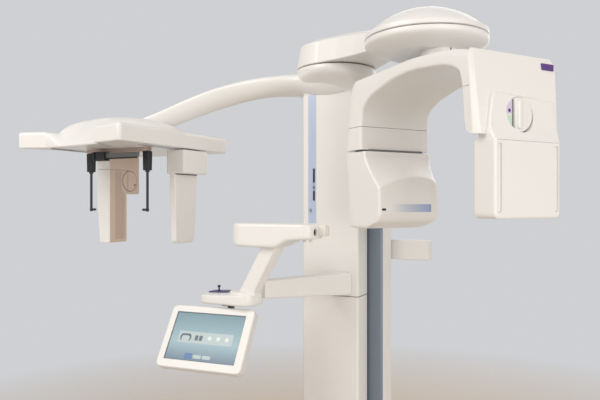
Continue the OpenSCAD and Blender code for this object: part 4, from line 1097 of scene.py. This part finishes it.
class SCANNER_OT_support(PieceOperator, bpy.types.Operator):
    """The patient support: arm, lower shell with pad and joystick, leaning strut, chin table and end block"""
    bl_idname = "scanner.support"
    bl_label = "Patient support"

    def build(self):
        self.arm()
        self.shell()
        self.strut()
        self.table()

    # Rise of the lower shell's top towards the right, and lean of the strut
    TILT = 0.05
    LEAN = math.radians(29)
    # Middle of the chin table's width, and heights of its under side and its top along it
    MIDDLE = -500
    UNDER = ((1270, -207), (1264, -203), (1259, -190), (1256, -170), (1255, -130), (1255, -30), (1258, -20),
             (1267, -4), (1275, 10), (1279, 22), (1283, 60), (1285, 102))
    OVER = ((1276, -207), (1290, -204), (1306, -200), (1320, -196.5), (1329, -193.5), (1332.6, -190), (1333, -184),
            (1333, 78), (1331.5, 92), (1327, 102))

    def arm(self):
        # Middle x and y, width, low and high
        stations = ((42, -173, 88, 1060, 1144), (39, -180, 84, 1060.5, 1143), (30, -198, 72, 1061, 1142),
                    (14, -228, 60, 1063, 1141.5), (-20, -290, 50, 1067, 1141), (-60, -365, 44, 1071, 1140),
                    (-100, -440, 40, 1075, 1139), (-118, -474, 36, 1078, 1138))
        across = Vector((0.882, -0.471, 0))
        rings = []
        for x, y, width, low, high in through(stations, 4):
            lean = unit((-173 - y) / 60)
            side = Vector((1, 0, 0)).lerp(across, lean).normalized()
            ring = rounded_box(-width / 2, width / 2, low, high, min(10, width / 4), 5)
            rings.append([Vector((x, y, 0)) + side * point.x + Vector((0, 0, point.y)) for point in ring])
        bm = skinned(rings)
        piece("support_arm_shell", bm, "moulded_white", "moving_column", "white_plastic", "support_arm")
        bm = solid(rounded_box(-4, 88, 1058, 1146, 10), -171.3, -169, (0.3, 0.3), (0.3, 0.3), UPRIGHT)
        piece("support_arm_seam", bm, "grained_grey", "moving_column", "grey_plastic")

    def shell(self):
        outline = spread(fillet([(-333, -560, 58), (-114, -560, 56), (-114, -440, 56), (-333, -440, 50)], 12), 20)
        bm = solid(outline, 1056, 1094, (14, 9), (8, 5), steps=8)
        for vert in bm.verts:
            if vert.co.z > 1075:
                vert.co.z += self.TILT * (vert.co.x + 333) - 8
        slab(bm, circle(-166, -500, 56, 64), 1066, 1104, (4, 4), (9, 6), steps=6)
        piece("lower_shell_body", bm, "moulded_white", "moving_column", "white_plastic", "lower_shell")
        bm = solid(rounded_box(-326, -244, -499, -449, 14), 1081, 1090, (1, 1), (3, 2))
        for vert in bm.verts:
            if vert.co.z > 1085:
                vert.co.z += self.TILT * (vert.co.x + 326)
        made = piece("control_pad_face", bm, "indigo_pad", "moving_column", "purple_plastic", "control_pad")
        carve(made, solid(circle(*JOYSTICK, 8, 32), 1086.5, 1108, (0.5, 0.5), (0.5, 0.5)))
        profile = [(0, 1089.5), (3, 1089.8), (3.4, 1094), (2.4, 1099), (2.2, 1101.5), (4.6, 1103), (6, 1105.6),
                   (5.6, 1108.4), (3.6, 1110.6), (0, 1111.2)]
        bm = spun(profile, *JOYSTICK, steps=32)
        piece("joystick_grip", bm, "indigo_pad", "joystick", "purple_plastic", "joystick")

    def strut(self):
        def plan(front, back, radius):
            def outline(height):
                middle = -148 + (height - 1099) * math.tan(self.LEAN)
                wide = 28.6 + 10 * max(0, (1112 - height) / 18) ** 2
                return fillet([(middle - wide, front, radius[0]), (middle + wide, front, radius[0]),
                               (middle + wide, back, radius[1]), (middle - wide, back, radius[1])], 5)
            return outline

        bm = bmesh.new()
        for front, back, radius in ((-533, -520.6, (9, 2.5)), (-518.8, -467, (2.5, 11))):
            outline = plan(front, back, radius)
            rings = [[Vector((*point, height)) for point in outline(height)]
                     for height in (1093, 1096, 1099, 1102, 1105, 1109, 1114, 1140, 1180, 1220, 1258)]
            skin(bm, rings)
        piece("support_strut_shells", bm, "moulded_white", "moving_column", "white_plastic", "support_strut")

    def table(self):
        def along(rows, x):
            for (a, x0), (b, x1) in zip(rows, rows[1:]):
                if x <= x1:
                    return a + (b - a) * (x - x0) / (x1 - x0)
            return rows[-1][0]

        rings = []
        for x in (-206.6, -206, -205, -203.5, -201, -198, -194, -188, -180, -170, -160, -148, -120, -60, -30, -24,
                  -16, -8, 0, 8, 16, 24, 40, 66, 80, 90, 96, 100, 101.5, 102):
            half = min(59 * (1 - round_off((-150 - x) / 57.4)), 59 - 29 * round_off((x - 66) / 36))
            trim = {101.5: 1, 102: 4}.get(x, 0)
            low, high = along(self.UNDER, x) + trim, along(self.OVER, x) - trim
            near, far = self.MIDDLE - half + trim, self.MIDDLE + half - trim
            ring = fillet([(near, low, 13), (far, low, 13), (far, high, 10), (near, high, 10)], 6)
            rings.append([SIDE @ Vector((*point, x)) for point in ring])
        bm = skinned(rings)
        table = piece("chin_table_shell", bm, "moulded_white", "moving_column", "white_plastic", "chin_table")
        carve(table, solid(circle(*SOCKET, 12, 40), 68, 110, (0.5, 0.5), (0.5, 0.5), SIDE))
        bm = solid(circle(*SOCKET, 11.6, 40), 66, 97, (0.5, 0.5), (0.5, 0.5), SIDE)
        piece("chin_socket_floor", bm, "grained_black", "moving_column", "dark_plastic")
        bm = solid(rounded_box(-496, -462, 1293, 1329, 5), 100, 126, (1, 1), (3, 3), SIDE)
        slab(bm, rounded_box(-488, -470, 1300, 1322, 4), 124, 130, (1, 1), (2, 2), SIDE)
        piece("chin_end_block", bm, "socket_ivory", "moving_column", "white_plastic", "socket_block")
        bm = bmesh.new()
        for x in (36, 62, 84):
            slab(bm, rounded_box(x - 4, x + 4, -524, -510, 2), 1275, 1288, (1, 1), (1, 1))
        piece("chin_clips", bm, "socket_ivory", "moving_column", "grey_plastic")


# Touch screen

class SCANNER_OT_screen(PieceOperator, bpy.types.Operator):
    """The touch screen: housing, display with plain shapes on it, pivot and yoke"""
    bl_idname = "scanner.screen"
    bl_label = "Touch screen"

    def plates(self, name, coat, slot, boxes, low, high, radius):
        bm = bmesh.new()
        for x0, x1, y0, y1 in boxes:
            slab(bm, rounded_box(x0, x1, y0, y1, radius, 4), low, high, (0.05, 0.05), (0.2, 0.1), SCREEN, 2)
        piece(name, bm, coat, "touch_screen", slot)

    def build(self):
        outline = spread(rounded_box(-155.5, 160, -111, 108.5, 22, 8), 40)
        bm = solid(outline, -32, 0, (5, 5), (4, 4), SCREEN, 6)
        housing = piece("screen_housing_shell", bm, "bezel_white", "touch_screen", "white_plastic", "screen_housing")
        carve(housing, solid(rounded_box(-131, 131, -84, 84, 2.5), -3, 4, (0.3, 0.3), (0.3, 0.3), SCREEN))
        self.plates("display_border", "icon_dark", "dark_plastic", [(-130.6, 130.6, -83.6, 83.6)], -4, -2.2, 2)
        bm = solid(rounded_box(-127, 129.5, -82, 80, 1), -3.4, -1.6, (0.1, 0.1), (0.2, 0.2), SCREEN)
        start, end = [SCREEN @ Vector((0, y, 0)) * MM for y in (80, -82)]
        fading("display_glow", ((0, (0.10, 0.21, 0.27)), (0.62, (0.25, 0.40, 0.46)), (1, (0.075, 0.14, 0.22))),
               start, end, 0.3, coat=0.1)
        piece("display_face", bm, "display_glow", "touch_screen", "display", "screen_display")
        self.plates("display_panel", "panel_glass", "display", [(-100, 104, -24, 16)], -1.7, -1.35, 4)
        self.plates("display_arch", "icon_dark", "display", [(-92, -50, -18, 8)], -1.4, -1.2, 12)
        self.plates("display_arch_gap", "panel_glass", "display", [(-86, -56, -19, 1)], -1.25, -1.1, 9)
        self.plates("display_blocks", "icon_dark", "display", [(-36, -24, -14, 4), (-20, -8, -14, 4)], -1.4, -1.2, 2)
        self.plates("display_dots", "icon_pale", "display", [(x, x + 14, -10, 4) for x in (12, 44, 76)], -1.4, -1.2, 6)
        self.plates("display_tile", "icon_blue", "display", [(-56, -28, -78, -58)], -1.7, -1.35, 2)
        self.plates("display_buttons", "panel_glass", "display", [(-24, 6, -74, -62), (10, 40, -74, -62)], -1.7,
                    -1.35, 3)
        soften("screen_pivot", "grained_grey", 1)
        soften("screen_yoke", "grained_grey", 1)


# What the covers hold

class SCANNER_OT_inside(PieceOperator, bpy.types.Operator):
    """The finishes of the solids that stay as they are, inside the covers"""
    bl_idname = "scanner.inside"
    bl_label = "Inside parts"

    COATS = {
        "brushed_steel": ("lift_spindle", "guide_rails", "ceph_rails", "shoulder_bearing", "elbow_bearing",
                          "carm_bearing"),
        "cast_alloy": ("lift_carriage", "column_frame", "carm_frame", "tube_insert"),
        "moulded_white": ("link_base",),
        "grained_black": ("lift_motor", "beam_collimator", "detector_panel"),
        "grained_grey": ("power_box",),
    }

    def build(self):
        for coat, nodes in self.COATS.items():
            for node in nodes:
                data = frame["nodes"][node].data
                data.materials.clear()
                data.materials.append(coat_of(coat))


# Stage

FLOOR_COLOUR = (0.64, 0.57, 0.50, 1)
FLOOR_RADIUS = 4
# Distances from the middle between which the floor fades out
FLOOR_FADE = (1.8, 3.6)
ROOM_COLOUR = (0.96, 0.90, 0.83, 1)
ROOM_STRENGTH = 0.62
CAMERA_PLACE = (0.902, -2.241, 1.40)
CAMERA_TURN = math.radians(26.4)
# Name, share of the key light's power, size, place, aim and colour
LAMPS = (
    ("key", 1, 2.4, (-1.6, -3.4, 3.6), (0, -0.3, 1.5), (1, 0.98, 0.95)),
    ("fill", 0.75, 3.0, (3.2, -2.6, 1.6), (0.2, -0.3, 1.5), (1, 0.97, 0.94)),
    ("back", 0.35, 3.0, (0.4, 3.2, 3.0), (0, 0, 1.3), (1, 0.95, 0.9)),
)


class SCANNER_OT_stage(bpy.types.Operator):
    """The floor, the lamps, the world and the camera"""
    bl_idname = "scanner.stage"
    bl_label = "Stage"
    bl_options = {"REGISTER", "UNDO"}

    def execute(self, context):
        self.floor()
        self.lamps()
        self.world()
        self.camera()
        return {"FINISHED"}

    def floor(self):
        bm = bmesh.new()
        bmesh.ops.create_circle(bm, cap_ends=True, segments=96, radius=FLOOR_RADIUS)
        mesh = mesh_of("floor", bm)
        made = add_object("floor", mesh)
        material = bpy.data.materials.new("floor_paint")
        material.use_nodes = True
        tree = material.node_tree
        shader = tree.nodes["Principled BSDF"]
        set_inputs(tree, shader, {"Base Color": FLOOR_COLOUR, "Roughness": 0.7})
        where = add_node(tree, "TexCoord", {}, "Object")
        away = add_node(tree, "VectorMath", {0: where}, "Value", operation="LENGTH")
        fade = add_node(tree, "MapRange", {"From Min": FLOOR_FADE[0], "From Max": FLOOR_FADE[1], "Value": away},
                        "Result")
        clear = add_node(tree, "BsdfTransparent", {}, "BSDF")
        mix = add_node(tree, "MixShader", {"Fac": fade, 1: shader.outputs["BSDF"], 2: clear}, "Shader")
        set_inputs(tree, tree.nodes["Material Output"], {"Surface": mix})
        mesh.materials.append(material)

    def lamps(self):
        for name, share, size, place, aim, colour in LAMPS:
            data = bpy.data.lights.new(name, "AREA")
            data.energy = looks().key_light * share
            data.size = size
            data.color = colour
            made = add_object(name, data)
            made.location = place
            made.rotation_euler = (Vector(aim) - Vector(place)).to_track_quat("-Z", "Y").to_euler()

    def world(self):
        world = bpy.data.worlds.new("studio")
        bpy.context.scene.world = world
        world.use_nodes = True
        tree = world.node_tree
        tree.nodes.clear()
        path = add_node(tree, "LightPath", {})
        rays = [path.outputs[name] for name in ("Is Camera Ray", "Is Glossy Ray", "Is Transmission Ray")]
        seen = add_node(tree, "Math", {0: rays[0], 1: rays[1]}, "Value", operation="MAXIMUM")
        seen = add_node(tree, "Math", {0: seen, 1: rays[2]}, "Value", operation="MAXIMUM")
        room = add_node(tree, "Background", {"Color": ROOM_COLOUR, "Strength": ROOM_STRENGTH}, "Background")
        drop = add_node(tree, "Background", {"Color": (*looks().backdrop, 1)}, "Background")
        mix = add_node(tree, "MixShader", {"Fac": seen, 1: room, 2: drop}, "Shader")
        add_node(tree, "OutputWorld", {"Surface": mix})

    def camera(self):
        data = bpy.data.cameras.new("photo_camera")
        data.lens = looks().lens
        data.sensor_width = 36
        data.shift_y = 0.005
        made = add_object("photo_camera", data)
        made.location = CAMERA_PLACE
        made.rotation_euler = (math.radians(90), 0, CAMERA_TURN)
        bpy.context.scene.camera = made
        bpy.context.scene.view_settings.view_transform = "Standard"


# Sidebar

STEPS = (SCANNER_OT_columns, SCANNER_OT_controls, SCANNER_OT_ceph_arm, SCANNER_OT_link, SCANNER_OT_c_arm,
         SCANNER_OT_tube_head, SCANNER_OT_sensor_arm, SCANNER_OT_ceph_head, SCANNER_OT_ceph_sensor,
         SCANNER_OT_head_rest, SCANNER_OT_support, SCANNER_OT_screen, SCANNER_OT_inside, SCANNER_OT_stage)


class SCANNER_PT_sidebar(bpy.types.Panel):
    """Sizes, colours and pieces of the scanner"""
    bl_idname = "SCANNER_PT_sidebar"
    bl_label = "X-ray scanner"
    bl_space_type = "VIEW_3D"
    bl_region_type = "UI"
    bl_category = "Scanner"

    def draw(self, context):
        look = context.scene.scanner_looks
        for name in ScannerLooks.__annotations__:
            self.layout.prop(look, name)
        for step in STEPS:
            self.layout.operator(step.bl_idname)


def register():
    bpy.utils.register_class(ScannerLooks)
    bpy.types.Scene.scanner_looks = PointerProperty(type=ScannerLooks)
    for step in (*STEPS, SCANNER_PT_sidebar):
        bpy.utils.register_class(step)


def unregister():
    for step in (SCANNER_PT_sidebar, *reversed(STEPS)):
        bpy.utils.unregister_class(step)
    del bpy.types.Scene.scanner_looks
    bpy.utils.unregister_class(ScannerLooks)


def main():
    register()
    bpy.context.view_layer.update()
    for step in STEPS:
        area, action = step.bl_idname.split(".")
        getattr(getattr(bpy.ops, area), action)()


if __name__ == "__main__":
    main()
